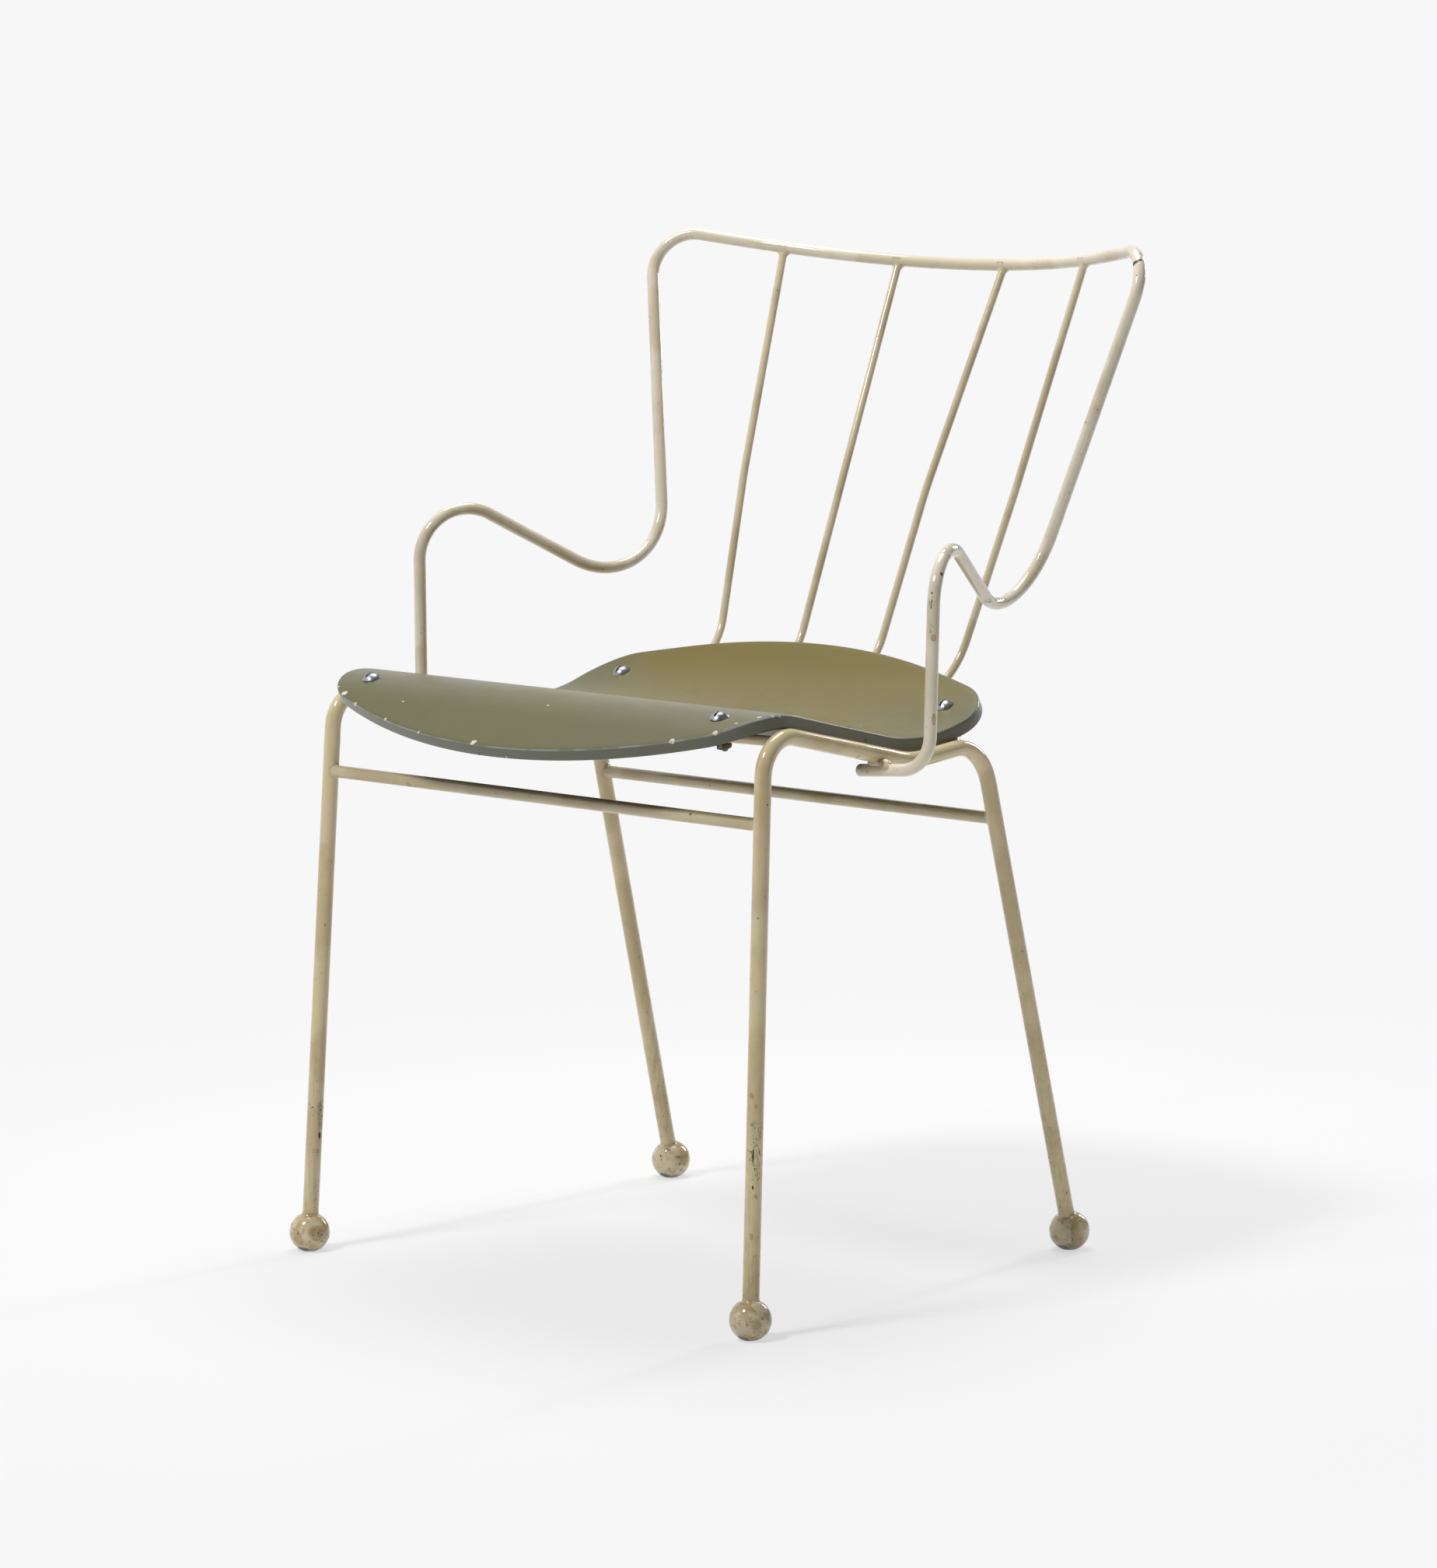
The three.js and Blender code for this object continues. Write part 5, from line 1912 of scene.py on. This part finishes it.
LEG_SPOTS = (
    *spots(
        Wear.SCRATCH,
        (-235.2, -239.6, 114.0, 5.0, 5.0, 20.0), (-235.5, -243.7, 79.7, 3.0, 3.0, 4.0),
        (243.9, -240.8, 164.6, 4.0, 4.0, 6.0), (247.2, -236.8, 160.0, 4.0, 4.0, 16.0),
        (245.0, -241.0, 138.0, 6.0, 6.0, 26.0), (232.0, -82.0, 422.7, 4.0, 6.0, 4.0),
    ),
    *spots(
        Wear.FLAKE,
        (-233.4, -240.6, 116.0, 1.8, 1.8, 7.0), (-234.8, -241.0, 94.0, 2.0, 2.0, 5.0),
        (244.2, -242.9, 140.8, 1.0, 1.6, 11.0), (244.8, -244.3, 116.5, 1.2, 1.2, 2.6),
        (241.4, -219.7, 404.0, 1.0, 1.0, 1.2),
    ),
    *spots(
        Wear.STAIN,
        (241.3, -240.4, 185.8, 2.6, 2.6, 3.2), (244.3, -239.3, 177.5, 2.0, 2.0, 2.4),
        (246.6, -242.9, 109.6, 2.0, 2.0, 2.6), (245.4, -247.1, 79.5, 2.2, 2.2, 3.6),
        (231.9, -108.1, 427.3, 2.6, 2.6, 2.4),
    ),
)

BAR_SPOTS = (
    *spots(Wear.RED, (165.6, -223.8, 390.4, 1.6, 1.6, 1.8)),
    *spots(Wear.STAIN, (-141.2, -223.8, 385.4, 4.0, 3.0, 3.0)),
    *spots(Wear.SCRATCH, (126.9, 66.1, 354.9, 4.0, 3.0, 2.0)),
)

PALE_CHIPS = (
    (-195.7, -240.3, 455.3, 4.6), (-173.5, -249.7, 449.4, 3.2),
    (-126.2, -262.0, 442.8, 2.2), (-80.0, -270.9, 437.2, 1.8),
    (-15.1, -275.1, 435.3, 4.0), (172.3, -250.1, 449.7, 3.8),
    (-127.0, -241.9, 454.4, 1.8), (18.6, -227.0, 461.6, 1.8),
    (-209.3, -233.8, 458.7, 1.8), (18.3, -272.3, 426.8, 1.8),
    (-184.4, -224.8, 463.8, 1.8), (204.9, -236.9, 457.2, 3.6),
    (221.5, -206.2, 466.9, 3.2), (213.0, -222.4, 463.2, 2.0),
    (227.8, -198.5, 467.5, 2.0), (229.3, -192.1, 467.2, 1.6),
    (137.0, 0.7, 431.8, 1.4),
)

DARK_CHIPS = (
    (-11.5, -272.1, 426.0, 2.4), (216.7, -82.3, 435.8, 2.0),
    (130.6, -7.7, 431.5, 4.0),
)


def foot_spots() -> tuple[Spot, ...]:
    """A black smear on each foot, low on its front.

    Returns:
        The smears.
    """
    smear = vec(*BallFeet.smear) * BallFeet.radius
    places = [tuple(SIZES.foot(row) * side.flip + smear) for side in Side for row in Row]
    return spots(Wear.SMUDGE, *((*place, *BallFeet.smear_reach) for place in places))


# The whole chair


def main() -> None:
    """Builds the studio, then each part of the chair, from the legs up."""
    logging.basicConfig(level=logging.INFO, format="%(message)s")
    Studio().build()
    leg_enamel = Enamel("leg_enamel", spots=LEG_SPOTS).build()
    arm_enamel = Enamel(
        "arm_enamel", tone=paint(224, 214, 192), deep_tone=paint(209, 196, 169), spots=ARM_SPOTS
    ).build()
    bar_enamel = Enamel(
        "bar_enamel", tone=paint(212, 198, 166), deep_tone=paint(197, 181, 146), spots=BAR_SPOTS
    ).build()
    # Painted shade: the stretchers take a darker copy of the leg enamel for the shade under the seat,
    # plus painted shade and reflection on their tops
    stretcher_shaded_enamel = Enamel(
        "stretcher_shaded_enamel", tone=paint(196, 182, 146), deep_tone=paint(180, 164, 126),
        painted_top_shade=0.52, spots=BAR_SPOTS,
    ).build()
    foot_enamel = Enamel(
        "foot_enamel", tone=paint(220, 205, 170), deep_tone=paint(188, 166, 118), roughness=0.04,
        patches=Cloud(Grain(62.0, 5.0, 0.6), 0.43, 0.58), streaks=0.04, scuffs=0.14, specks=0.045,
        soiling=0.25, soiled_below=0.035, spots=foot_spots(),
    ).build()
    seat_paint = SeatPaint(chips=PALE_CHIPS, dents=DARK_CHIPS).build()
    zinc = PlatedSteel(
        "zinc_plate", paint(164, 166, 168), paint(118, 120, 124), paint(66, 58, 50), -0.03, 0.24
    ).build()
    rusty = PlatedSteel(
        "rusty_nut", paint(112, 106, 90), paint(74, 68, 54), paint(62, 49, 34), 0.12, 0.40
    ).build()
    back, rails = ArmAndBack(), SeatRails()
    SideFrames().build(leg_enamel)
    Stretchers().build(stretcher_shaded_enamel)
    BallFeet().build(foot_enamel)
    back.build(arm_enamel)
    SEAT.build(seat_paint)
    rails.build(bar_enamel, zinc, rusty)
    BackSpindles().build(back, rails, bar_enamel)


if __name__ == "__main__":
    main()
